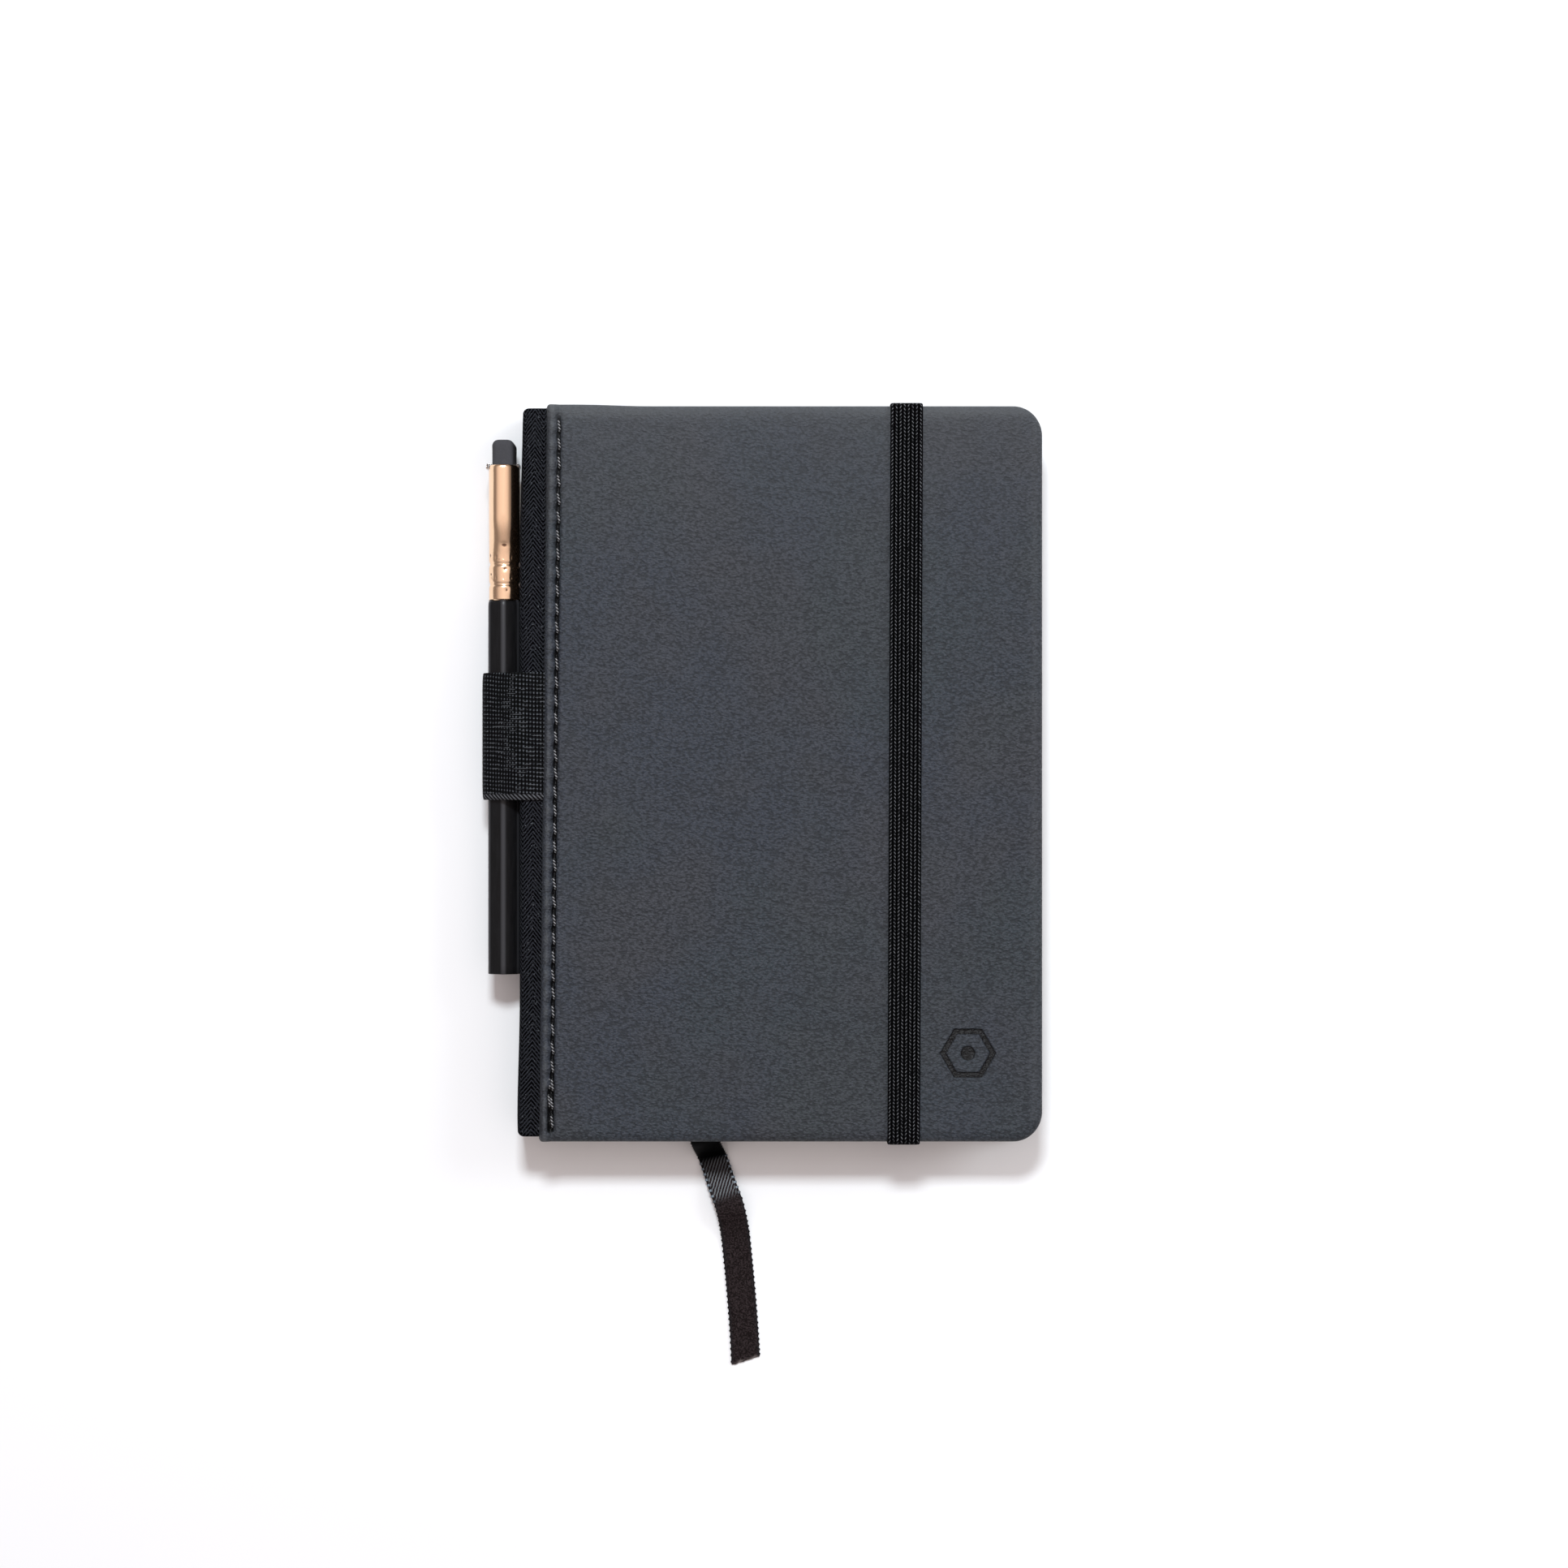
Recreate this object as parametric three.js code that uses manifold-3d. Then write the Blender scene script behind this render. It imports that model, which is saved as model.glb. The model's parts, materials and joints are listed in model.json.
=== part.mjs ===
// A pocket notebook: hard covers with grey leather panels, a black cloth spine, sewn paper
// signatures, a ribbon marker, an elastic closure band, and a short hexagonal pencil held in an
// elastic loop along the spine.
//
// Millimetres, +Z up. The notebook lies on its back cover. The origin is the middle of the back
// cover's resting face, +X points to the fore edge, +Y to the head.

import * as THREE from 'three';
import { mergeVertices } from 'three/addons/utils/BufferGeometryUtils.js';
import Module from 'manifold-3d';

const wasm = await Module();
wasm.setup();

// ---------------------------------------------------------------- sizes

// Covers
const bookWidth = 108.3; // spine face to fore edge
const coverHeight = 152; // head to tail
const coverCorner = 6; // fore-edge corners, in plan
const spineSideCorner = 0.8;
const leatherThick = 1;
const clothThick = 0.4;
const boardThick = 1.6;
const endpaperThick = 0.2;
const boardInset = 0.6; // board edge inside the leather edge
const clothStrip = 4.9; // bare cloth between the spine face and the leather panel
const clothLap = 5.2; // cloth carried on under the leather panel
const hingeInset = 2.55; // opening axis, measured from the spine face
const hingeGap = 0.15; // each side of the opening axis

// Paper
const square = 2; // cover beyond the leaves at head and tail
const foreSquare = 2.15; // cover beyond the leaves at the fore edge
const leafInset = 2.15; // leaves' backs, measured from the spine face
const leafCorner = 5;
const signatureThick = 1;
const signatureCount = 8;
const turningSignatures = 2; // signatures that turn with the front flyleaf
const leafThick = 0.12; // one loose leaf
const flyleafThick = 0.14;
const glueLine = 0.02; // between neighbours in the stack

// Spine
const stiffenerThick = 0.7;
const spineFold = 2; // size of the cloth's two folds
const liningThick = 0.3;
const sewingThread = 0.4;
const sewingStations = 6;

// Seam along each leather panel
const seamFromEdge = 2.85; // from the panel's spine-side edge
const seamEndMargin = 1.6; // from the panel's head and tail
const seamChannel = 1;
const seamFloor = 0.25; // leather left under the channel
const stitchPitch = 3.8;
const threadRadius = 0.3;

// Elastic closure band
const bandWidth = 6.7;
const bandThick = 0.9;
const bandFromForeEdge = 28.35; // to the band's middle
const bandClear = 0.08; // band to the covers it wraps
const bandHem = 9.5; // run under the back cover, from its edge to the slot
const hemClear = 0.06; // above and below the band in its channel
const slotClear = 0.3; // all round the band where it enters the board

// Ribbon marker
const ribbonWidth = 6;
const ribbonThick = 0.28;

// Pencil loop
const loopHeight = 26.4; // along the spine
const loopMiddle = 7.8; // its middle, toward the head
const loopThick = 0.9;
const loopClear = 0.15; // loop to the pencil's ridges

// Pencil
const pencilFlats = 6.6; // across flats
const pencilGap = 0.2; // pencil to the spine face
const pencilHeight = 8.3; // its axis above the resting face
const barrelLength = 77.7;
const barrelTail = -41.7; // the barrel's bare end, along Y
const coreRadius = 1.1;
const boreClear = 0.1;
const tenonClear = 0.2; // tenon to the ferrule's crimps
const tenonLength = 10.5;
const ferruleLength = 28.1;
const ferruleWall = 0.3;
const ferruleRound = 3.2; // outer radius at the barrel
const ferruleFlatHeight = 12; // across the flattened mouth
const ferruleRoundLength = 9.5;
const ferruleFlareLength = 6;
const crimpDepth = 0.15;
const eraserClear = 0.25; // eraser to the clip's arms
const eraserEndClear = 0.5; // eraser to the ferrule's narrow ends
const eraserOut = 5.3; // beyond the ferrule's mouth
const eraserIn = 11.4; // inside the ferrule
const clipThick = 0.25;
const clipWidth = 8;
const clipClear = 0.1;

// ---------------------------------------------------------------- places

const spineFace = -bookWidth / 2;
const foreEdge = bookWidth / 2;
const panelEdge = spineFace + clothStrip;
const boardEdge = panelEdge + boardInset;
const hingeX = spineFace + hingeInset;
const leafFore = foreEdge - foreSquare;
const leafBack = spineFace + leafInset;
const leafHeight = coverHeight - 2 * square;
const clothEnd = panelEdge + clothLap;
const clothHeight = coverHeight - 2 * boardInset;
const bandX = foreEdge - bandFromForeEdge;
const slotY = coverHeight / 2 - bandHem;
const pencilX = spineFace - pencilGap - pencilFlats / 2;
const ferruleTail = barrelTail + barrelLength;
const ferruleMouth = ferruleTail + ferruleLength;
const tenonRadius = ferruleRound - ferruleWall - crimpDepth - tenonClear;
const hemThick = leatherThick - 2 * hemClear; // the band is pressed flat in its channel

// The stack from the table up: every layer's thickness, and from it every layer's bottom.
const fixedSignatures = [];
for (let i = signatureCount; i > turningSignatures; i--) fixedSignatures.push(`signature_${i}`);
const loosePack = [];
for (let i = turningSignatures; i > 0; i--) loosePack.push(`signature_${i}`);
const stack = [
  ['back_leather_panel', leatherThick],
  ['back_filler', clothThick],
  ['back_board', boardThick],
  ['back_endpaper', endpaperThick],
  ['back_flyleaf', flyleafThick],
  ...fixedSignatures.map((name) => [name, signatureThick]),
  ['ribbon_marker', ribbonThick],
  ['lower_leaf', leafThick],
  ['upper_leaf', leafThick],
  ...loosePack.map((name) => [name, signatureThick]),
  ['front_flyleaf', flyleafThick],
  ['front_endpaper', endpaperThick],
  ['front_board', boardThick],
  ['front_filler', clothThick],
  ['front_leather_panel', leatherThick],
];
const bottom = {};
let level = 0;
for (const [name, thick] of stack) {
  bottom[name] = level;
  level += thick + glueLine;
}
const bookThick = level - glueLine;

// ---------------------------------------------------------------- materials and helpers

const finish = (color, roughness, metalness = 0) =>
  new THREE.MeshStandardMaterial({ color, roughness, metalness });
const leather = finish(0x4b4f55, 0.62);
const cloth = finish(0x1a1b1c, 0.9);
const greyboard = finish(0x8d8578, 0.9);
const filler = finish(0xb9b2a4, 0.95);
const endpaper = finish(0xe9e4d8, 0.85);
const paper = finish(0xf3efe4, 0.88);
const thread = finish(0x101011, 0.45);
const sewing = finish(0xe6e0d2, 0.8);
const satin = finish(0x1c1a1c, 0.35);
const elastic = finish(0x19191b, 0.85);
const blackPaint = finish(0x17171a, 0.5);
const graphite = finish(0x3a3b3f, 0.4, 0.3);
const brass = finish(0xc9a27a, 0.25, 1);
const steel = finish(0xc8cacd, 0.25, 1);
const rubber = finish(0x3b3b40, 0.8);

const book = new THREE.Group();

function add(name, geometry, material) {
  const mesh = new THREE.Mesh(geometry, material);
  mesh.name = name;
  book.add(mesh);
  return mesh;
}

function solid(geometry) {
  geometry.deleteAttribute('normal');
  geometry.deleteAttribute('uv');
  const merged = mergeVertices(geometry, 1e-4);
  return new wasm.Manifold(new wasm.Mesh({
    numProp: 3,
    vertProperties: new Float32Array(merged.attributes.position.array),
    triVerts: new Uint32Array(merged.index.array),
  }));
}

function geometryOf(body) {
  const mesh = body.getMesh();
  const geometry = new THREE.BufferGeometry();
  geometry.setAttribute('position', new THREE.BufferAttribute(mesh.vertProperties, 3));
  geometry.setIndex(new THREE.BufferAttribute(mesh.triVerts, 1));
  geometry.computeVertexNormals();
  return geometry;
}

// A block from its low and high corners.
function block(x0, y0, z0, x1, y1, z1) {
  return new THREE.BoxGeometry(x1 - x0, y1 - y0, z1 - z0)
    .translate((x0 + x1) / 2, (y0 + y1) / 2, (z0 + z1) / 2);
}

// A plan outline from left to right, symmetric about X, with its own corner radius each side.
function planShape(left, right, height, leftRadius, rightRadius) {
  const y = height / 2;
  const shape = new THREE.Shape();
  shape.moveTo(left + leftRadius, -y);
  shape.lineTo(right - rightRadius, -y);
  shape.absarc(right - rightRadius, -y + rightRadius, rightRadius, -Math.PI / 2, 0);
  shape.lineTo(right, y - rightRadius);
  shape.absarc(right - rightRadius, y - rightRadius, rightRadius, 0, Math.PI / 2);
  shape.lineTo(left + leftRadius, y);
  shape.absarc(left + leftRadius, y - leftRadius, leftRadius, Math.PI / 2, Math.PI);
  shape.lineTo(left, -y + leftRadius);
  shape.absarc(left + leftRadius, -y + leftRadius, leftRadius, Math.PI, 1.5 * Math.PI);
  return shape;
}

// A plan outline given a thickness, standing on level z.
function slab(shape, z, thick) {
  return new THREE.ExtrudeGeometry(shape, { depth: thick, bevelEnabled: false, curveSegments: 5 })
    .translate(0, 0, z);
}

// An outline drawn in X and Z, carried along Y between two places.
function alongY(shape, y0, y1, options = {}) {
  return new THREE.ExtrudeGeometry(shape, { depth: y1 - y0, bevelEnabled: false, ...options })
    .rotateX(Math.PI / 2).translate(0, y1, 0);
}

// An outline drawn in Y and Z, carried along X between two places.
function alongX(shape, x0, x1) {
  return new THREE.ExtrudeGeometry(shape, { depth: x1 - x0, bevelEnabled: false })
    .rotateY(Math.PI / 2).rotateX(Math.PI / 2).translate(x0, 0, 0);
}

// A path through corners, each rounded by the given radius.
function roundedPath(corners, radius, divisions = 4) {
  const points = corners.map(([x, y]) => new THREE.Vector2(x, y));
  const path = new THREE.Path();
  path.moveTo(points[0].x, points[0].y);
  for (let i = 1; i < points.length - 1; i++) {
    const back = points[i - 1].clone().sub(points[i]).normalize();
    const on = points[i + 1].clone().sub(points[i]).normalize();
    const cut = radius / Math.tan(back.clone().angleTo(on) / 2);
    const enter = points[i].clone().addScaledVector(back, cut);
    const leave = points[i].clone().addScaledVector(on, cut);
    path.lineTo(enter.x, enter.y);
    path.quadraticCurveTo(points[i].x, points[i].y, leave.x, leave.y);
  }
  const last = points[points.length - 1];
  path.lineTo(last.x, last.y);
  return path.getPoints(divisions);
}

// The outline of a strip of even thickness that follows the points.
function stripShape(points, thick) {
  const left = [];
  const right = [];
  points.forEach((point, i) => {
    const before = points[Math.max(i - 1, 0)];
    const after = points[Math.min(i + 1, points.length - 1)];
    const enter = (i > 0 ? point.clone().sub(before) : after.clone().sub(point)).normalize();
    const leave = (i < points.length - 1 ? after.clone().sub(point) : enter.clone()).normalize();
    const along = enter.clone().add(leave).normalize();
    const side = new THREE.Vector2(-along.y, along.x);
    const reach = thick / 2 / (-side.x * enter.y + side.y * enter.x);
    left.push(point.clone().addScaledVector(side, reach));
    right.unshift(point.clone().addScaledVector(side, -reach));
  });
  return new THREE.Shape([...left, ...right]);
}

// ---------------------------------------------------------------- covers

const seamX = panelEdge + seamFromEdge;
const seamReach = coverHeight / 2 - seamEndMargin;
const seamDepth = leatherThick - seamFloor;
const slotHalfWidth = bandWidth / 2 + slotClear;

// The thread of a seam: one long wave that rises at each stitch and dips between stitches.
class SeamLine extends THREE.Curve {
  constructor(crest, dip) {
    super();
    this.crest = crest;
    this.dip = dip;
    this.stitches = Math.round((2 * seamReach) / stitchPitch);
  }

  getPoint(t, target = new THREE.Vector3()) {
    const lift = Math.abs(Math.sin(Math.PI * t * this.stitches));
    const z = this.dip + (this.crest - this.dip) * lift;
    const y = (0.5 - t) * 2 * (seamReach - threadRadius);
    return target.set(seamX, y, z);
  }

  getPointAt(t, target) {
    return this.getPoint(t, target);
  }
}

function seamThread(crest, dip) {
  const line = new SeamLine(crest, dip);
  const section = new THREE.Shape();
  section.absarc(0, 0, threadRadius, 0, 2 * Math.PI);
  return new THREE.ExtrudeGeometry(section, {
    extrudePath: line, steps: 4 * line.stitches, curveSegments: 3, bevelEnabled: false,
  });
}

function leatherPanel(z, outerFace) {
  const shape = planShape(panelEdge, foreEdge, coverHeight, spineSideCorner, coverCorner);
  const inner = outerFace > 0 ? outerFace - seamDepth : seamDepth;
  const outer = outerFace > 0 ? outerFace + 1 : -1;
  const channel = block(seamX - seamChannel / 2, -seamReach, Math.min(inner, outer),
    seamX + seamChannel / 2, seamReach, Math.max(inner, outer));
  return solid(slab(shape, z, leatherThick)).subtract(solid(channel));
}

// Channels let the band run flush under the back cover from each edge to its slot.
function bandChannels() {
  const reach = coverHeight / 2 + 1;
  const start = slotY - hemThick / 2 - slotClear;
  return [1, -1].map((end) => solid(block(bandX - slotHalfWidth, Math.min(end * start, end * reach), -1,
    bandX + slotHalfWidth, Math.max(end * start, end * reach), leatherThick + 1)));
}

function slotted(geometry) {
  const half = hemThick / 2 + slotClear;
  let body = solid(geometry);
  for (const y of [slotY, -slotY]) {
    const slot = block(bandX - slotHalfWidth, y - half, -1, bandX + slotHalfWidth, y + half, bookThick);
    body = body.subtract(solid(slot));
  }
  return geometryOf(body);
}

function coverBoard(name) {
  const shape = planShape(boardEdge, foreEdge - boardInset, coverHeight - 2 * boardInset,
    spineSideCorner, coverCorner - boardInset);
  return slab(shape, bottom[name], boardThick);
}

function coverFiller(name) {
  const shape = planShape(clothEnd + glueLine, foreEdge - boardInset, coverHeight - 2 * boardInset,
    spineSideCorner, coverCorner - boardInset);
  return slab(shape, bottom[name], clothThick);
}

function pastedLeaf(name) {
  const shape = planShape(boardEdge, leafFore, leafHeight, spineSideCorner, leafCorner);
  return slab(shape, bottom[name], endpaperThick);
}

const backPanel = bandChannels().reduce((panel, cut) => panel.subtract(cut), leatherPanel(0, 0));
add('back_leather_panel', geometryOf(backPanel), leather);
const seamCrest = threadRadius + 0.03;
const seamDip = seamDepth - threadRadius - 0.03;
add('back_seam_thread', seamThread(seamCrest, seamDip), thread);
add('back_filler', slotted(coverFiller('back_filler')), filler);
add('back_board', slotted(coverBoard('back_board')), greyboard);
add('back_endpaper', pastedLeaf('back_endpaper'), endpaper);

add('front_leather_panel', geometryOf(leatherPanel(bottom.front_leather_panel, bookThick)), leather);
add('front_seam_thread', seamThread(bookThick - seamCrest, bookThick - seamDip), thread);
add('front_filler', coverFiller('front_filler'), filler);
add('front_board', coverBoard('front_board'), greyboard);
add('front_endpaper', pastedLeaf('front_endpaper'), endpaper);

// ---------------------------------------------------------------- spine

const backClothZ = bottom.back_filler + clothThick / 2;
const frontClothZ = bottom.front_filler + clothThick / 2;
const clothMiddleX = spineFace + clothThick / 2;

// The cloth is cut at the opening axis: this piece holds the spine and the back cover.
const spineCloth = roundedPath([
  [clothEnd, backClothZ],
  [clothMiddleX, backClothZ],
  [clothMiddleX, frontClothZ],
  [hingeX - hingeGap, frontClothZ],
], spineFold);
add('spine_cloth', alongY(stripShape(spineCloth, clothThick), -clothHeight / 2, clothHeight / 2), cloth);

// The same cloth beyond the opening axis, glued under the front panel.
add('front_joint_cloth', block(hingeX + hingeGap, -clothHeight / 2, bottom.front_filler,
  clothEnd, clothHeight / 2, bottom.front_filler + clothThick), cloth);

const stiffenerX = spineFace + clothThick + glueLine;
add('spine_stiffener', block(stiffenerX, -clothHeight / 2, backClothZ + spineFold,
  stiffenerX + stiffenerThick, clothHeight / 2, frontClothZ - spineFold), greyboard);

const blockLow = bottom.back_flyleaf;
const blockHigh = bottom.front_endpaper - glueLine;
const sewingX = leafBack - glueLine - sewingThread;
const sewingEnd = 12; // first and last sewing station, from the head and the tail
const liningEnd = 4;
add('spine_lining', block(sewingX - glueLine - liningThick, -leafHeight / 2 + liningEnd, blockLow,
  sewingX - glueLine, leafHeight / 2 - liningEnd, blockHigh), filler);

// One thread climbs the folds at a station, runs to the next and comes down there.
function sewingRoute() {
  const low = blockLow + sewingThread;
  const high = blockHigh - sewingThread;
  const first = -leafHeight / 2 + sewingEnd;
  const pitch = (leafHeight - 2 * sewingEnd) / (sewingStations - 1);
  const corners = [];
  for (let i = 0; i < sewingStations; i++) {
    const y = first + i * pitch;
    const up = i % 2 === 0;
    corners.push(new THREE.Vector2(y, up ? low : high), new THREE.Vector2(y, up ? high : low));
  }
  return corners;
}
add('sewing_thread', alongX(stripShape(sewingRoute(), sewingThread), sewingX, sewingX + sewingThread),
  sewing);

// ---------------------------------------------------------------- paper

const turnLeft = hingeX + hingeGap; // what turns stays on the fore-edge side of the axis

function leaf(name, left, thick) {
  const shape = planShape(left, leafFore, leafHeight, spineSideCorner, leafCorner);
  return slab(shape, bottom[name], thick);
}

// A signature is a slab whose back is rounded by the fold of its sheets.
function signature(name, left) {
  const z = bottom[name];
  const round = signatureThick / 2;
  const profile = new THREE.Shape();
  profile.moveTo(foreEdge, z);
  profile.lineTo(foreEdge, z + signatureThick);
  profile.lineTo(left + round, z + signatureThick);
  profile.absarc(left + round, z + round, round, Math.PI / 2, 1.5 * Math.PI);
  const folded = solid(alongY(profile, -leafHeight, leafHeight, { curveSegments: 3 }));
  const plan = planShape(left - 1, leafFore, leafHeight, spineSideCorner, leafCorner);
  return geometryOf(folded.intersect(solid(slab(plan, z - 1, signatureThick + 2))));
}

add('back_flyleaf', leaf('back_flyleaf', leafBack, flyleafThick), endpaper);
for (const name of fixedSignatures) add(name, signature(name, leafBack), paper);
add('lower_leaf', leaf('lower_leaf', turnLeft, leafThick), paper);
add('upper_leaf', leaf('upper_leaf', turnLeft, leafThick), paper);
for (const name of loosePack) add(name, signature(name, turnLeft), paper);
add('front_flyleaf', leaf('front_flyleaf', turnLeft, flyleafThick), endpaper);

// ---------------------------------------------------------------- ribbon marker

// Inside the book the ribbon lies from the gutter at the head to its way out at the tail.
const ribbonZ = bottom.ribbon_marker + ribbonThick / 2;
const ribbonLie = new THREE.SplineCurve([
  new THREE.Vector2(leafBack + ribbonWidth / 2 + 0.3, leafHeight / 2 - 0.4),
  new THREE.Vector2(-38, 20),
  new THREE.Vector2(-25, -34),
  new THREE.Vector2(-16.5, -leafHeight / 2 + 0.3),
]);
add('ribbon_marker', slab(stripShape(ribbonLie.getPoints(16), ribbonWidth), bottom.ribbon_marker,
  ribbonThick), satin);

// Outside, its tail drops over the edge, lifts off the table once and lies flat to its cut end.
const ribbonRoute = [
  [-16.45, -74.3, ribbonZ],
  [-16.05, -75.7, 9.5],
  [-15.6, -77.2, 8.0],
  [-15.2, -78.4, 5.6],
  [-14.8, -79.5, 3.0],
  [-14.4, -80.6, 1.1],
  [-13.9, -82.0, 0.75],
  [-13.0, -84.6, 1.35],
  [-12.0, -87.4, 2.05],
  [-11.0, -90.0, 2.65],
  [-10.4, -92.2, 2.6],
  [-9.9, -94.8, 1.5],
  [-9.5, -97.6, 0.6],
  [-9.1, -101.5, 0.32],
  [-8.7, -105.5, 0.3],
  [-8.3, -110.0, 0.3],
  [-7.9, -115.0, 0.3],
  [-7.6, -119.5, 0.3],
  [-7.4, -123.7, 0.3],
];

function ribbonTail() {
  const curve = new THREE.CatmullRomCurve3(ribbonRoute.map((p) => new THREE.Vector3(...p)));
  const points = curve.getPoints(2 * (ribbonRoute.length - 1));
  const side = stripShape(points.map((p) => new THREE.Vector2(p.y, p.z)), ribbonThick);
  const geometry = alongX(side, -ribbonWidth / 2, ribbonWidth / 2);
  const place = geometry.attributes.position;
  for (let i = 0; i < place.count; i++) {
    const y = place.getY(i);
    const next = Math.max(1, points.findIndex((p) => p.y < y));
    const [a, b] = [points[next - 1], points[next]];
    const share = THREE.MathUtils.clamp((a.y - y) / (a.y - b.y), 0, 1);
    place.setX(i, place.getX(i) + a.x + (b.x - a.x) * share);
  }
  return geometry;
}
add('ribbon_tail', ribbonTail(), satin);

// ---------------------------------------------------------------- closure band

const bandSideY = coverHeight / 2 + bandClear + bandThick / 2;
const bandTopZ = bookThick + bandClear + bandThick / 2;
const bandUnderZ = leatherThick / 2;
const bandSplit = bottom.back_board; // the free loop begins here, above its anchored ends
const bandSplitGap = 0.1;
const bandFold = 0.5;

const bandLoop = roundedPath([
  [bandSideY, bandSplit + bandSplitGap],
  [bandSideY, bandTopZ],
  [-bandSideY, bandTopZ],
  [-bandSideY, bandSplit + bandSplitGap],
], bandFold);
add('closure_band', alongX(stripShape(bandLoop, bandThick), bandX - bandWidth / 2, bandX + bandWidth / 2),
  elastic);

// Each end of the band runs under the back cover and up through its slot in the board.
for (const [name, end] of [['band_end_head', 1], ['band_end_tail', -1]]) {
  const hem = roundedPath([
    [end * slotY, bottom.back_board + boardThick - 0.2],
    [end * slotY, bandUnderZ],
    [end * bandSideY, bandUnderZ],
    [end * bandSideY, bandSplit - bandSplitGap],
  ], bandFold, 3);
  add(name, alongX(stripShape(hem, hemThick), bandX - bandWidth / 2, bandX + bandWidth / 2), elastic);
}

// ---------------------------------------------------------------- pencil loop

// The loop leaves the front joint, passes round the pencil and ends under the back panel's edge.
function loopRoute() {
  const centre = new THREE.Vector2(pencilX, pencilHeight);
  const ridge = pencilFlats / Math.sqrt(3);
  const radius = ridge + loopClear + loopThick / 2;
  const topZ = bottom.front_leather_panel + 0.03 + loopThick / 2;
  const lowZ = leatherThick / 2;
  const over = new THREE.Vector2(spineFace - pencilGap, topZ);
  const under = new THREE.Vector2(spineFace - pencilGap, lowZ);
  const touch = (from, side) => {
    const away = from.clone().sub(centre);
    return away.angle() + side * Math.acos(radius / away.length());
  };
  const start = touch(over, 1);
  const finishAngle = touch(under, -1);
  const path = new THREE.Path();
  path.moveTo(hingeX - hingeGap, topZ);
  path.lineTo(over.x, over.y);
  path.lineTo(centre.x + radius * Math.cos(start), centre.y + radius * Math.sin(start));
  path.absarc(centre.x, centre.y, radius, start, finishAngle);
  path.lineTo(under.x, under.y);
  path.lineTo(panelEdge - hingeGap, lowZ);
  return path.getPoints(6);
}
add('pencil_loop', alongY(stripShape(loopRoute(), loopThick),
  loopMiddle - loopHeight / 2, loopMiddle + loopHeight / 2), elastic);

// ---------------------------------------------------------------- pencil

const pencil = new THREE.Group();
pencil.position.set(pencilX, 0, pencilHeight);
book.add(pencil);

function addToPencil(name, geometry, material) {
  const mesh = new THREE.Mesh(geometry, material);
  mesh.name = name;
  pencil.add(mesh);
}

function rod(radius, y0, y1, sides) {
  return new THREE.CylinderGeometry(radius, radius, y1 - y0, sides).translate(0, (y0 + y1) / 2, 0);
}

const tenonEnd = ferruleTail + tenonLength;
const barrel = solid(rod(pencilFlats / Math.sqrt(3), barrelTail, ferruleTail, 6))
  .add(solid(rod(tenonRadius, ferruleTail - 1, tenonEnd, 24)))
  .subtract(solid(rod(coreRadius + boreClear, barrelTail - 1, tenonEnd + 1, 16)));
addToPencil('pencil_barrel', geometryOf(barrel), blackPaint);
addToPencil('pencil_core', rod(coreRadius, barrelTail, tenonEnd - 0.5, 16), graphite);

// The ferrule is turned round, crimped on the barrel, then flared to a flat-sided mouth.
function ferruleGeometry() {
  const tail = ferruleTail + 0.1;
  const crimps = [3.4, 7.6];
  const outer = [
    [0, 0], [crimps[0] - 0.6, 0], [crimps[0], crimpDepth], [crimps[0] + 0.6, 0],
    [crimps[1] - 0.6, 0], [crimps[1], crimpDepth], [crimps[1] + 0.6, 0], [ferruleRoundLength, 0],
  ];
  const flareSteps = 5;
  for (let i = 1; i <= flareSteps; i++) {
    outer.push([ferruleRoundLength + (ferruleFlareLength * i) / flareSteps, 0]);
  }
  outer.push([ferruleLength - 0.1, 0]);
  const wall = (offset) => ([along, dent]) => new THREE.Vector2(ferruleRound - dent - offset, tail + along);
  const profile = [...outer.map(wall(0)), ...outer.map(wall(ferruleWall)).reverse()];
  profile.push(profile[0].clone());
  const geometry = new THREE.LatheGeometry(profile, 24);
  const place = geometry.attributes.position;
  const stretch = ferruleFlatHeight / 2 - ferruleRound;
  for (let i = 0; i < place.count; i++) {
    const along = place.getY(i) - tail - ferruleRoundLength;
    const flat = THREE.MathUtils.smoothstep(along, 0, ferruleFlareLength);
    const radius = Math.hypot(place.getX(i), place.getZ(i));
    const [c, s] = [place.getX(i) / radius, place.getZ(i) / radius];
    const power = 2 / (2 + 4 * flat);
    place.setX(i, Math.sign(c) * Math.abs(c) ** power * radius);
    place.setZ(i, Math.sign(s) * Math.abs(s) ** power * (radius + stretch * flat));
  }
  return geometry;
}
addToPencil('pencil_ferrule', ferruleGeometry(), brass);

const clipBase = ferruleMouth - eraserIn - clipThick;
const clipSide = ferruleRound - ferruleWall - clipClear - clipThick / 2;
const clipTop = ferruleMouth + clipThick / 2 + clipClear;
const clipTip = ferruleRound + clipClear;
const clipRoute = roundedPath([
  [-clipTip, clipTop], [-clipSide, clipTop], [-clipSide, clipBase],
  [clipSide, clipBase], [clipSide, clipTop], [clipTip, clipTop],
], 0.25, 3);
addToPencil('eraser_clip', slab(stripShape(clipRoute, clipThick), -clipWidth / 2, clipWidth), steel);

function eraserGeometry() {
  const corner = 1.2;
  const edge = 0.4;
  const halfWidth = clipSide - clipThick / 2 - eraserClear - edge;
  const height = ferruleFlatHeight - 2 * (ferruleWall + eraserEndClear + edge);
  const shape = planShape(-halfWidth, halfWidth, height, corner - edge, corner - edge);
  const low = clipBase + clipThick / 2 + clipClear + edge;
  const high = ferruleMouth + eraserOut - edge;
  return alongY(shape, low, high, {
    bevelEnabled: true, bevelSize: edge, bevelThickness: edge, bevelSegments: 2, curveSegments: 3,
  });
}
addToPencil('pencil_eraser', eraserGeometry(), rubber);

export default book;
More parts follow.
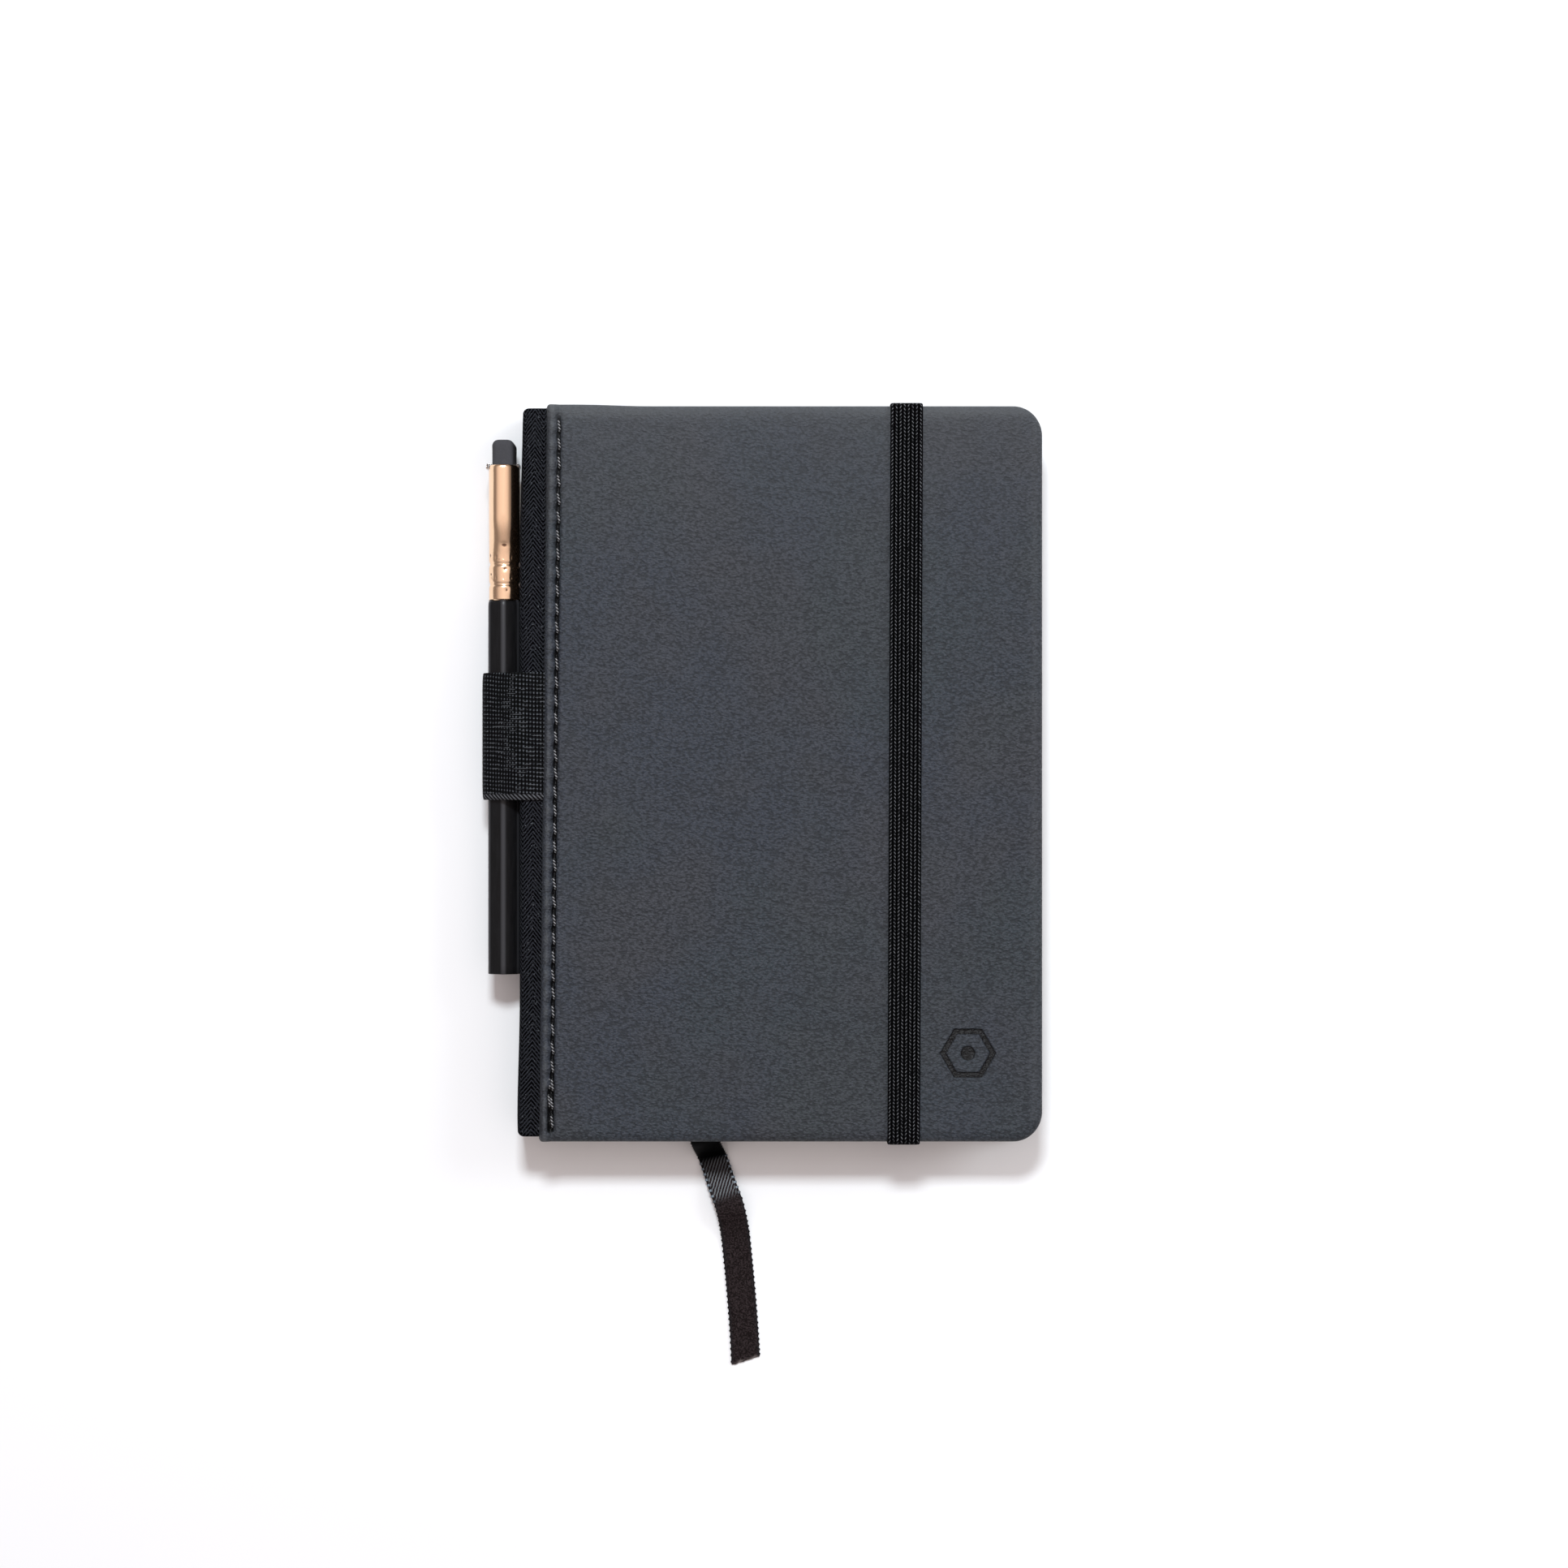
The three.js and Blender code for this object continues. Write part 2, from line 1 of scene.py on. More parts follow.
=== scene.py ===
"""The looks of a pocket notebook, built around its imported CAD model.

The notebook lies on its back cover: +X to the fore edge, +Y to the head, +Z up, in metres. Sizes in this
script are written in millimetres and turned to metres by mm().
"""

import json
import math

import bmesh
import bpy
import numpy as np
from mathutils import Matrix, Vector


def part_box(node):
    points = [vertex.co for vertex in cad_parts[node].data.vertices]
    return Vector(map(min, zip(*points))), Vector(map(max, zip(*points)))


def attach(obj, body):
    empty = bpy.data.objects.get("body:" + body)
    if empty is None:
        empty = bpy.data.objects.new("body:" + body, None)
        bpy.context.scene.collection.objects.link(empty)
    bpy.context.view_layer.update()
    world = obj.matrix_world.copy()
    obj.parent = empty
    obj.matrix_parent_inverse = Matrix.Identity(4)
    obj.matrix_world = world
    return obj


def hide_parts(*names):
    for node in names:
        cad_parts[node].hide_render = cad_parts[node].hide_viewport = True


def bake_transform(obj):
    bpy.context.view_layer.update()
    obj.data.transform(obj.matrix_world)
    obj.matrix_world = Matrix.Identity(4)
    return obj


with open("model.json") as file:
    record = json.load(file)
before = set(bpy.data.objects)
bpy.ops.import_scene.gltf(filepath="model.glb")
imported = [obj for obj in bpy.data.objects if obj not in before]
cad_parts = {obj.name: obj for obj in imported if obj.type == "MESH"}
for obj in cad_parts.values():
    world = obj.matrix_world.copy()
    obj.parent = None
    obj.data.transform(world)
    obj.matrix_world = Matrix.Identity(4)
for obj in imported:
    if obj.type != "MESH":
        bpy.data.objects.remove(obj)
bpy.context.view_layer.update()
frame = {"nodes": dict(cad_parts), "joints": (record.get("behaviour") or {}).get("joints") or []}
scene = bpy.context.scene


TURN = 2 * math.pi


def mm(value):
    return value * 0.001


def low(node):
    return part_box(node)[0] * 1000


def high(node):
    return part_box(node)[1] * 1000


def settled(piece, body, slot, *nodes):
    """Rides on a body and stands for CAD nodes, which it hides. slot is not used."""
    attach(piece, body)
    if nodes:
        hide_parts(*nodes)
    return piece


# ---- places, in millimetres

PANEL_LEFT, PANEL_TAIL = low("front_leather_panel").xy
FORE, HEAD, THICK = high("front_leather_panel")
SPINE_FACE = low("spine_cloth").x
HINGE_X = frame["joints"][0]["pos_m"][0] * 1000
BOARD_LOW = low("front_board").z
BAND_X = (low("closure_band").x + high("closure_band").x) / 2
BAND_WIDTH = high("closure_band").x - low("closure_band").x
LEAF_LEFT, LEAF_FORE, LEAF_HEAD = low("signature_8").x, high("signature_8").x, high("signature_8").y
PENCIL = (low("pencil_barrel") + high("pencil_barrel")) / 2
BARREL_TAIL = low("pencil_barrel").y
FERRULE_TAIL, FERRULE_MOUTH = low("pencil_ferrule").y, high("pencil_ferrule").y
FERRULE_HALF_WIDTH = (high("pencil_ferrule").x - low("pencil_ferrule").x) / 2
FERRULE_HALF_HEIGHT = (high("pencil_ferrule").z - low("pencil_ferrule").z) / 2
LOOP_TAIL, LOOP_HEAD = low("pencil_loop").y, high("pencil_loop").y
LOOP_WIDTH = LOOP_HEAD - LOOP_TAIL
SEAM_X = (low("front_seam_thread").x + high("front_seam_thread").x) / 2
SEAM_REACH = high("front_seam_thread").y
BAND_RIB = BAND_WIDTH / 8
LOOP_CORD, LOOP_ROW = 0.71, 0.86  # the loop's cords, and the rows of floats across them
PICOT_PITCH = 1.2  # the ribbon's edge loops
LIT_FROM, LIT_TO = 12.3, 20.3  # along the ribbon's tail, where it leans to the light
RIBBON_LEVEL = (low("ribbon_marker").z + high("ribbon_marker").z) / 2

# ---- camera and light

CAMERA_HEIGHT = 750  # above the front cover
FRAMED = 324.2  # width in view at the front cover
camera_data = bpy.data.cameras.new("overhead_camera")
camera_data.sensor_width = 36
camera_data.lens = 36 * CAMERA_HEIGHT / FRAMED
camera_data.clip_start, camera_data.clip_end = 0.01, 20
camera = bpy.data.objects.new("overhead_camera", camera_data)
camera.location = (mm(0.7), mm(-2.1), mm(CAMERA_HEIGHT + THICK))
scene.collection.objects.link(camera)
scene.camera = camera
scene.view_settings.view_transform = "Standard"


def soft_light(name, place, aim, size, power, colour):
    data = bpy.data.lights.new(name, "AREA")
    data.shape = "RECTANGLE"
    data.size, data.size_y = size
    data.energy = power
    data.color = colour
    light = bpy.data.objects.new(name, data)
    light.location = place
    light.rotation_euler = (Vector(aim) - Vector(place)).to_track_quat("-Z", "Y").to_euler()
    scene.collection.objects.link(light)
    return light


soft_light("window_light", (-0.05, 0.585, 1.0), (0, 0, 0), (0.22, 0.16), 10.8, (0.92, 1.0, 1.05))
side_light = soft_light("side_light", (0.85, 0.38, 0.55), (0, 0, 0), (0.5, 0.5), 4.5, (0.92, 1.0, 1.05))
side_light.visible_glossy = False

# ---- node trees


class Wire:
    """One output socket; arithmetic on it adds Math nodes to its tree."""

    def __init__(self, nodes, socket):
        self.nodes = nodes
        self.socket = socket

    def math(self, operation, *others, swap=False):
        values = [self, *others]
        if swap:
            values.reverse()
        return self.nodes.add("ShaderNodeMath", {"operation": operation}, dict(enumerate(values)))[0]

    def __add__(self, other):
        return self.math("ADD", other)

    def __sub__(self, other):
        return self.math("SUBTRACT", other)

    def __rsub__(self, other):
        return self.math("SUBTRACT", other, swap=True)

    def __mul__(self, other):
        return self.math("MULTIPLY", other)

    __radd__ = __add__
    __rmul__ = __mul__

    def sine(self):
        return self.math("SINE")

    def floor(self):
        return self.math("FLOOR")

    def size(self):
        return self.math("ABSOLUTE")

    def over(self, start, end):
        """0 below start, 1 above end, smooth between."""
        settings = {"interpolation_type": "SMOOTHSTEP"}
        return self.nodes.add("ShaderNodeMapRange", settings, {0: self, 1: start, 2: end})[0]


class Added:
    """A node that has been added; its outputs are read by name or number."""

    def __init__(self, nodes, node):
        self.nodes = nodes
        self.node = node

    def __getitem__(self, key):
        return Wire(self.nodes, self.node.outputs[key])


class Nodes:
    """A node tree under construction."""

    def __init__(self, tree):
        self.tree = tree

    def add(self, kind, settings=None, inputs=None):
        node = self.tree.nodes.new(kind)
        for key, value in (settings or {}).items():
            setattr(node, key, value)
        for key, value in (inputs or {}).items():
            if isinstance(value, Wire):
                self.tree.links.new(value.socket, node.inputs[key])
            else:
                node.inputs[key].default_value = value
        return Added(self, node)


class Finish(Nodes):
    """A material under construction, on Object coordinates."""

    def __init__(self, name):
        self.material = bpy.data.materials.new(name)
        self.material.use_nodes = True
        super().__init__(self.material.node_tree)
        self.tree.nodes.clear()
        self.place = self.add("ShaderNodeTexCoord")["Object"]

    def stretched(self, scale, turn=(0, 0, 0)):
        inputs = {"Vector": self.place, "Scale": scale, "Rotation": turn}
        return self.add("ShaderNodeMapping", {}, inputs)["Vector"]

    def noise(self, grain, detail=2, rough=0.5, where=None, distort=0):
        """Soft noise from 0 to 1 whose grains are about so many millimetres."""
        inputs = {"Vector": where or self.place, "Scale": 1 / mm(grain), "Detail": detail,
                  "Roughness": rough, "Distortion": distort}
        return self.add("ShaderNodeTexNoise", {}, inputs)["Fac"]

    def cells(self, grain, where):
        inputs = {"Vector": where, "Scale": 1 / mm(grain)}
        return self.add("ShaderNodeTexVoronoi", {"feature": "SMOOTH_F1"}, inputs)["Distance"]

    def mark(self, name):
        """A value that the mesh carries on its points."""
        return self.add("ShaderNodeAttribute", {"attribute_name": name})["Fac"]

    def tint(self, factor, first, second):
        """One colour turning to another."""
        ends = [v if isinstance(v, Wire) else (*v, 1) for v in (first, second)]
        inputs = {0: factor, 6: ends[0], 7: ends[1]}
        return self.add("ShaderNodeMix", {"data_type": "RGBA"}, inputs)[2]

    def layered(self, colour, *layers):
        """A colour with others laid over it, each by its own factor."""
        for factor, over in layers:
            colour = self.tint(factor, colour, over)
        return colour

    def relief(self, height, depth, under=None):
        """A bump so many millimetres deep."""
        inputs = {"Height": height, "Distance": mm(depth)}
        if under:
            inputs["Normal"] = under
        return self.add("ShaderNodeBump", {}, inputs)["Normal"]

    def done(self, colour, roughness, normal, specular=0.5, **others):
        inputs = {"Base Color": colour, "Roughness": roughness, "Normal": normal,
                  "Specular IOR Level": specular}
        inputs.update({key.replace("_", " "): value for key, value in others.items()})
        shader = self.add("ShaderNodeBsdfPrincipled", {}, inputs)
        self.add("ShaderNodeOutputMaterial", {}, {"Surface": shader["BSDF"]})
        return self.material


def strip_finish(name):
    """A finish whose pattern follows a strip, and the strip's marks."""
    f = Finish(name)
    return f, f.mark("along"), f.mark("across")


# ---- studio

world = bpy.data.worlds.new("studio")
world.use_nodes = True
world.node_tree.nodes.clear()
room = Nodes(world.node_tree)
upward = room.add("ShaderNodeSeparateXYZ", {}, {0: room.add("ShaderNodeTexCoord")["Generated"]})["Z"]
ceiling = upward.over(0.42, 1.0) * 0.68 + 0.26  # a bright ceiling over dimmer walls
soft_fill = room.add("ShaderNodeBackground", {}, {"Color": (1.08, 0.96, 0.945, 1), "Strength": ceiling})
room.add("ShaderNodeOutputWorld", {}, {"Surface": soft_fill["Background"]})
scene.world = world

# ---- finishes


def leather_finish():
    """Pebbled grain with fine creases, warm and green clouds, edge wear, and painted light and highlights."""
    f = Finish("grey_leather")
    warm = f.noise(23, 3, 0.55).over(0.38, 0.66)
    green = f.noise(31, 2, 0.5, f.stretched((1, 0.8, 1), (0, 0, 0.6))).over(0.45, 0.7)
    pulled = f.stretched((0.8, 1.2, 1), (0, 0, 0.3))
    pebbles = f.cells(0.52, pulled)
    creases = f.noise(0.38, 3, 0.6, pulled)
    pressed = f.mark("pressed")
    colour = f.layered(
        (0.0225, 0.0285, 0.040), (warm * 0.6, (0.033, 0.031, 0.032)), (green * 0.4, (0.020, 0.033, 0.031)),
        (creases.over(0.36, 0.64) * 0.75, (0.050, 0.054, 0.066)),
        (pebbles.over(0.30, 0.62) * 0.62, (0.0085, 0.010, 0.0125)),
        (pressed.over(0.25, 0.8) * 0.96, (0.0022, 0.0022, 0.0026)),
        # painted highlights and painted light toward the head, with edge wear along the rim
        (f.mark("worn_and_lit") * 0.30, (0.075, 0.08, 0.085)),
        (f.noise(3.1, 1).over(0.845, 0.86) * 0.6, (0.35, 0.35, 0.36)))
    normal = f.relief(f.noise(6, 2), 0.3, f.relief(creases * 0.9 - pebbles * 0.8, 0.26))
    return f.done(colour, creases * 0.16 + 0.46 - pressed * 0.2, normal, 0.25)


def twill_finish():
    """Herringbone: the diagonal turns back at each stripe of the weave."""
    f, along, across = strip_finish("black_twill")
    stripe_width = 2.1
    stripe = (along * (math.pi / stripe_width) + 0.9).sine().math("ARCSINE") * (stripe_width / math.pi)
    ridge = ((stripe * 1.3 + across) * (TURN / 0.92)).sine()
    thread = f.noise(0.36, 2, 0.6)
    colour = f.layered(
        (0.0003, 0.0003, 0.0004), (ridge.over(0.1, 0.95) * 0.8, (0.030, 0.032, 0.039)),
        (thread.over(0.48, 0.62) * 0.4, (0.026, 0.028, 0.033)),
        (f.noise(0.42, 1).over(0.68, 0.76) * 0.8, (0.08, 0.086, 0.095)))
    return f.done(colour, 0.8, f.relief(ridge * 0.3 + thread, 0.06), 0.01)


def band_finish():
    """Braided ribs that slant in turn one way and the other, with dark grooves between."""
    f, along, across = strip_finish("band_braid")
    fuzz = f.noise(0.28, 2, 0.6)
    wave = (across * (math.pi / BAND_RIB)).sine()
    side = wave.over(-0.05, 0.05) * 2 - 1
    rib = wave.size()
    slant = ((along + side * across * 1.1) * (TURN / 0.76)).sine()
    lit = slant.over(0.20, 0.85) * rib.over(0.68, 0.95) * fuzz.over(0.36, 0.54)
    colour = f.layered((0.0002, 0.0002, 0.0003), (rib.over(0.45, 0.85), (0.0035, 0.0036, 0.0042)),
                       (lit * 0.9, (0.135, 0.138, 0.146)))
    return f.done(colour, 0.6, f.relief(slant * 0.4 + fuzz * 0.8, 0.10), 0.015)


def webbing_finish():
    """Thick cords side by side, each wrapped by short bright floats, crossed by fine weft."""
    f, along, across = strip_finish("loop_webbing")
    fuzz = f.noise(0.28, 2, 0.6)
    column = along * (1 / LOOP_CORD)
    cord = (column * math.pi).sine().size()
    wander = f.noise(5, 1) * 0.5
    float_rows = ((across + wander + column.floor() * 0.06) * (TURN / LOOP_ROW)).sine()
    weft = ((across + wander + 0.2) * (TURN / LOOP_ROW)).sine()
    lit = float_rows.over(-0.1, 0.8) * cord.over(0.62, 0.92) * fuzz.over(0.35, 0.55)
    crossing = weft.over(0.78, 0.98) * f.noise(2.2, 2).over(0.50, 0.62)
    rope = f.tint(((along + across) * (TURN / 0.9)).sine().over(-0.2, 0.7), (0.004, 0.004, 0.0045),
                  (0.085, 0.088, 0.096))
    colour = f.layered(
        (0.0003, 0.0003, 0.0004), (cord.over(0.4, 0.8), (0.0040, 0.0042, 0.0048)),
        (lit * 0.85, (0.085, 0.093, 0.105)), (crossing * 0.75, (0.085, 0.090, 0.098)),
        (across.over(LOOP_WIDTH / 2 - 1.3, LOOP_WIDTH / 2 - 1.1), rope))
    return f.done(colour, 0.6, f.relief(float_rows * 0.35 + weft * 0.3 + fuzz * 0.8, 0.10), 0.04)


def satin_finish():
    """Matte from straight above, with slanting floats that shine where they lean to the light, helped by
    painted sheen; painted near black where it drops from the block.
    """
    f, along, across = strip_finish("black_satin")
    slant = ((along * 0.7 + across) * (TURN / 0.74)).sine()
    edge = across.size().over(2.3, 2.55)
    fibre = f.noise(0.30, 2, 0.6)
    lit = along.over(LIT_FROM - 1.5, LIT_FROM + 1.5) * (1 - along.over(LIT_TO - 1.5, LIT_TO + 1.5))
    loops = edge * (along * (TURN / PICOT_PITCH)).sine().over(0.1, 0.7)
    floats = slant.over(-0.1, 0.6) * (1 - edge) + loops
    woven = f.layered((0.0070, 0.0050, 0.0050), (fibre.over(0.40, 0.66), (0.0290, 0.0215, 0.0225)),
                      (edge * 0.5, (0.012, 0.012, 0.013)))
    # painted shade: near black where the tail drops steeply from the block; painted sheen on the floats and
    # painted highlights on the edge loops where it leans to the light
    colour = f.layered(
        (0.0008, 0.0007, 0.0008), (along.over(LIT_FROM - 1, LIT_FROM + 2.5), woven),
        (f.mark("melted") * 0.85, (0.22, 0.19, 0.18)), (lit * floats * 0.5, (0.050, 0.062, 0.074)),
        (lit * loops * 0.8, (0.19, 0.22, 0.25)))
    return f.done(colour, 0.5, f.relief(slant * 0.5 * lit + fibre * 0.35, 0.03), 0.02,
                  Coat_Weight=floats * lit * 0.8, Coat_Roughness=0.34, Coat_Tint=(0.82, 0.93, 1.0, 1))


def thread_finish():
    f = Finish("waxed_black_thread")
    plies = (f.mark("along") * (TURN / 0.22)).sine()
    # painted glints on the top of each ply
    colour = f.layered((0.003, 0.003, 0.0035), (f.noise(0.3, 2).over(0.35, 0.75), (0.012, 0.012, 0.013)),
                       (f.mark("painted_glint") * 0.9, (0.50, 0.50, 0.52)))
    return f.done(colour, 0.24 + f.noise(0.4, 1) * 0.12, f.relief(plies, 0.02), 0.6)


def paper_finish(name, base, shade):
    f = Finish(name)
    fibre = f.noise(0.6, 3, 0.6, f.stretched((1, 2.2, 1)))
    colour = f.layered(base, (f.noise(14, 3).over(0.35, 0.7) * 0.5, shade),
                       (fibre.over(0.55, 0.8) * 0.18, tuple(v * 0.86 for v in shade)))
    return f.done(colour, 0.82 + fibre * 0.1, f.relief(fibre, 0.012), 0.25)


def board_finish(name, base, shade):
    f = Finish(name)
    flecks = f.noise(0.5, 4, 0.7)
    return f.done(f.tint(flecks.over(0.35, 0.7), shade, base), 0.9, f.relief(flecks, 0.03), 0.2)


def lacquer_finish():
    f = Finish("black_lacquer")
    brush = f.noise(1.2, 3, 0.6, f.stretched((3, 0.25, 3)))
    colour = f.layered(
        (0.003, 0.003, 0.0035), (brush.over(0.3, 0.8), (0.006, 0.006, 0.007)),
        (f.noise(0.35, 1).over(0.76, 0.8) * 0.35, (0.05, 0.05, 0.052)),
        # lighter ridges: edge wear, and a painted highlight for the ridge that faces up
        (f.mark("ridge") * 0.8, (0.034, 0.034, 0.038)))
    return f.done(colour, 0.32 + brush * 0.14, f.relief(brush, 0.012), 0.24)


def cedar_finish():
    f = Finish("cut_cedar")
    sideways = f.add("ShaderNodeSeparateXYZ", {}, {0: f.place})["X"]
    rings = ((sideways + f.noise(3, 2) * 0.002) * (TURN / mm(0.8))).sine()
    pores = f.noise(0.18, 2, 0.7)
    colour = f.layered((0.34, 0.17, 0.085), (rings.over(-0.6, 0.9), (0.50, 0.28, 0.15)),
                       (pores.over(0.6, 0.75) * 0.6, (0.17, 0.075, 0.035)))
    return f.done(colour, 0.75, f.relief(rings * 0.4 + pores, 0.03))


def graphite_finish():
    f = Finish("graphite")
    grain = f.noise(0.12, 3, 0.7)
    colour = f.tint(grain, (0.028, 0.028, 0.031), (0.085, 0.086, 0.092))
    return f.done(colour, 0.38 + grain * 0.2, f.relief(grain, 0.01), Metallic=0.35)


def rose_gold_finish():
    """Drawn sheet metal, stained between its crimps and dark in its punch dents."""
    f = Finish("rose_gold")
    drawn = f.noise(0.8, 3, 0.6, f.stretched((4, 0.15, 4)))
    stain = f.noise(2.6, 4, 0.65, distort=0.4).over(0.60, 0.74) * f.mark("stained")
    colour = f.layered((0.93, 0.66, 0.44), (drawn * 0.5, (0.84, 0.55, 0.36)),
                       (stain * 0.85, (0.20, 0.075, 0.040)),
                       (f.mark("dented").over(0.45, 0.75) * 0.85, (0.09, 0.035, 0.022)))
    return f.done(colour, drawn * 0.10 + 0.14 + stain * 0.25, f.relief(drawn, 0.006), Metallic=1.0)


def steel_finish():
    f = Finish("clip_steel")
    drawn = f.noise(0.5, 3, 0.6, f.stretched((0.3, 4, 4)))
    colour = f.tint(drawn, (0.62, 0.63, 0.66), (0.80, 0.81, 0.83))
    return f.done(colour, 0.18 + drawn * 0.14, f.relief(drawn, 0.004), Metallic=1.0)


def eraser_finish():
    f = Finish("grey_eraser")
    grain = f.noise(0.35, 3, 0.65)
    colour = f.layered((0.031, 0.031, 0.035), (grain, (0.050, 0.050, 0.056)),
                       (f.noise(1.8, 3).over(0.55, 0.8) * 0.35, (0.08, 0.08, 0.088)))
    return f.done(colour, 0.86, f.relief(grain, 0.03), 0.3)


def floor_finish():
    f = Finish("white_table")
    colour = f.tint(f.noise(40, 2) * 0.3, (0.80, 0.80, 0.805), (0.785, 0.785, 0.79))
    return f.done(colour, 0.7, f.relief(f.noise(1.5, 2), 0.004), 0.15)


LEATHER = leather_finish()
TWILL = twill_finish()
BAND_BRAID = band_finish()
LOOP_WEBBING = webbing_finish()
SATIN = satin_finish()
THREAD = thread_finish()
PAGE = paper_finish("page_paper", (0.70, 0.66, 0.57), (0.64, 0.60, 0.50))
ENDPAPER = paper_finish("endpaper_stock", (0.66, 0.63, 0.56), (0.60, 0.57, 0.50))
GREYBOARD = board_finish("greyboard", (0.30, 0.27, 0.22), (0.18, 0.165, 0.14))
CARD = board_finish("filler_card", (0.50, 0.47, 0.40), (0.40, 0.37, 0.31))
LINEN = board_finish("linen_thread", (0.75, 0.70, 0.60), (0.62, 0.57, 0.47))
LACQUER = lacquer_finish()
CEDAR = cedar_finish()
GRAPHITE = graphite_finish()
ROSE_GOLD = rose_gold_finish()
STEEL = steel_finish()
ERASER = eraser_finish()

# ---- mesh making


def make_piece(name, points, faces, materials, marks=None, smooth=True, face_materials=None):
    """A mesh piece from points in millimetres. marks are values that its points carry."""
    mesh = bpy.data.meshes.new(name)
    mesh.from_pydata((np.asarray(points, float) * 0.001).tolist(), [], [tuple(face) for face in faces])
    for mark, values in (marks or {}).items():
        layer = mesh.attributes.new(mark, "FLOAT", "POINT")
        layer.data.foreach_set("value", np.asarray(values, np.float32).ravel())
    for material in materials if isinstance(materials, list) else [materials]:
        mesh.materials.append(material)
    if face_materials is not None:
        mesh.polygons.foreach_set("material_index", np.asarray(face_materials, np.int32))
    working = bmesh.new()
    working.from_mesh(mesh)
    bmesh.ops.recalc_face_normals(working, faces=working.faces)
    for face in working.faces:
        face.smooth = smooth
    working.to_mesh(mesh)
    working.free()
    piece = bpy.data.objects.new(name, mesh)
    scene.collection.objects.link(piece)
    return piece


def ring_faces(rings, around, closed=False):
    """Quads that join equal rings of points, with a cap on each end unless the rings close on themselves."""
    faces = []
    for i in range(rings if closed else rings - 1):
        here, there = i * around, ((i + 1) % rings) * around
        for j in range(around):
            k = (j + 1) % around
            faces.append((here + j, here + k, there + k, there + j))
    if not closed:
        faces.append(tuple(range(around)))
        faces.append(tuple((rings - 1) * around + j for j in reversed(range(around))))
    return faces


def smooth_path(points, step):
    """Points every step millimetres or so on a Catmull-Rom curve through the given ones."""
    given = np.asarray(points, float)
    padded = np.vstack([2 * given[0] - given[1], given, 2 * given[-1] - given[-2]])
    made = []
    for i in range(len(given) - 1):
        a, b, c, d = padded[i:i + 4]
        count = max(2, int(np.linalg.norm(c - b) / (step / 4)))
        for t in np.linspace(0, 1, count, endpoint=False):
            made.append(0.5 * (2 * b + (c - a) * t + (2 * a - 5 * b + 4 * c - d) * t ** 2
                               + (3 * b - a - 3 * c + d) * t ** 3))
    made.append(given[-1])
    return evenly(np.array(made), step)


def evenly(points, step):
    """The same line with points a step apart."""
    lengths = np.concatenate([[0], np.cumsum(np.linalg.norm(np.diff(points, axis=0), axis=1))])
    places = np.linspace(0, lengths[-1], max(2, int(round(lengths[-1] / step)) + 1))
    return np.stack([np.interp(places, lengths, points[:, k]) for k in range(points.shape[1])], axis=1)


def soft_step(value, start, end):
    """0 before start, 1 after end, smooth between."""
    t = np.clip((value - start) / (end - start), 0, 1)
    return t * t * (3 - 2 * t)


def hill(offset, reach):
    """1 where offset is 0, falling smoothly to almost nothing at twice reach."""
    return np.exp(-(offset / reach) ** 2)


def rounded_corners(corners, radii, per_turn=8):
    """A flat path through corners, each rounded with a true arc of its own radius."""
    corners = [np.asarray(c, float) for c in corners]
    made = [corners[0]]
    for before, corner, after, radius in zip(corners, corners[1:], corners[2:], radii):
        back = (before - corner) / np.linalg.norm(before - corner)
        on = (after - corner) / np.linalg.norm(after - corner)
        half = math.acos(np.clip(back @ on, -1, 1)) / 2
        centre = corner + (back + on) / np.linalg.norm(back + on) * radius / math.sin(half)
        start = corner + back * radius / math.tan(half) - centre
        end = corner + on * radius / math.tan(half) - centre
        for t in np.linspace(0, 1, per_turn + 1):
            between = start * (1 - t) + end * t
            made.append(centre + between / np.linalg.norm(between) * radius)
    made.append(corners[-1])
    return np.array(made)


def strip(name, path, lateral, width, thick, columns, material, relief=None, edge=None, marks=None):
    """A strip of even thickness that follows path, a line of points, with its width along lateral.

    relief(along, across) raises its outer face, which is on the left of the path seen against lateral;
    edge(along) widens it. Its points carry how far along and across they are.
    """
    path = np.asarray(path, float)
    lateral = np.asarray(lateral, float)
    tangent = np.gradient(path, axis=0)
    tangent /= np.linalg.norm(tangent, axis=1)[:, None]
    side = lateral - tangent * (tangent @ lateral)[:, None] if lateral.ndim == 1 else lateral
    side /= np.linalg.norm(side, axis=1)[:, None]
    normal = np.cross(side, tangent)
    along = np.concatenate([[0], np.cumsum(np.linalg.norm(np.diff(path, axis=0), axis=1))])
    across = np.linspace(-1, 1, columns)
    round_edge = np.sqrt(np.clip(1 - np.abs(across) ** 12, 0, 1)) * 0.7 + 0.3
    section_across = np.concatenate([across, across[::-1]])
    a, c = np.meshgrid(along, across * width / 2, indexing="ij")
    outer = round_edge[None, :] * thick / 2 + (relief(a, c) if relief else 0 * a)
    inner = 0 * a - round_edge[None, :] * thick / 2
    heights = np.concatenate([outer, inner], axis=1)
    wide = section_across[None, :] * (width / 2 + (edge(along)[:, None] if edge else 0))
    points = path[:, None, :] + side[:, None, :] * wide[..., None] + normal[:, None, :] * heights[..., None]
    given = {"along": np.repeat(along[:, None], 2 * columns, axis=1),
             "across": np.repeat(section_across[None, :] * width / 2, len(along), axis=0)}
    given.update({key: made(given["along"], given["across"]) for key, made in (marks or {}).items()})
    return make_piece(name, points.reshape(-1, 3), ring_faces(len(path), 2 * columns), material, given)


# ---- ribbon marker (the free cord comes first)

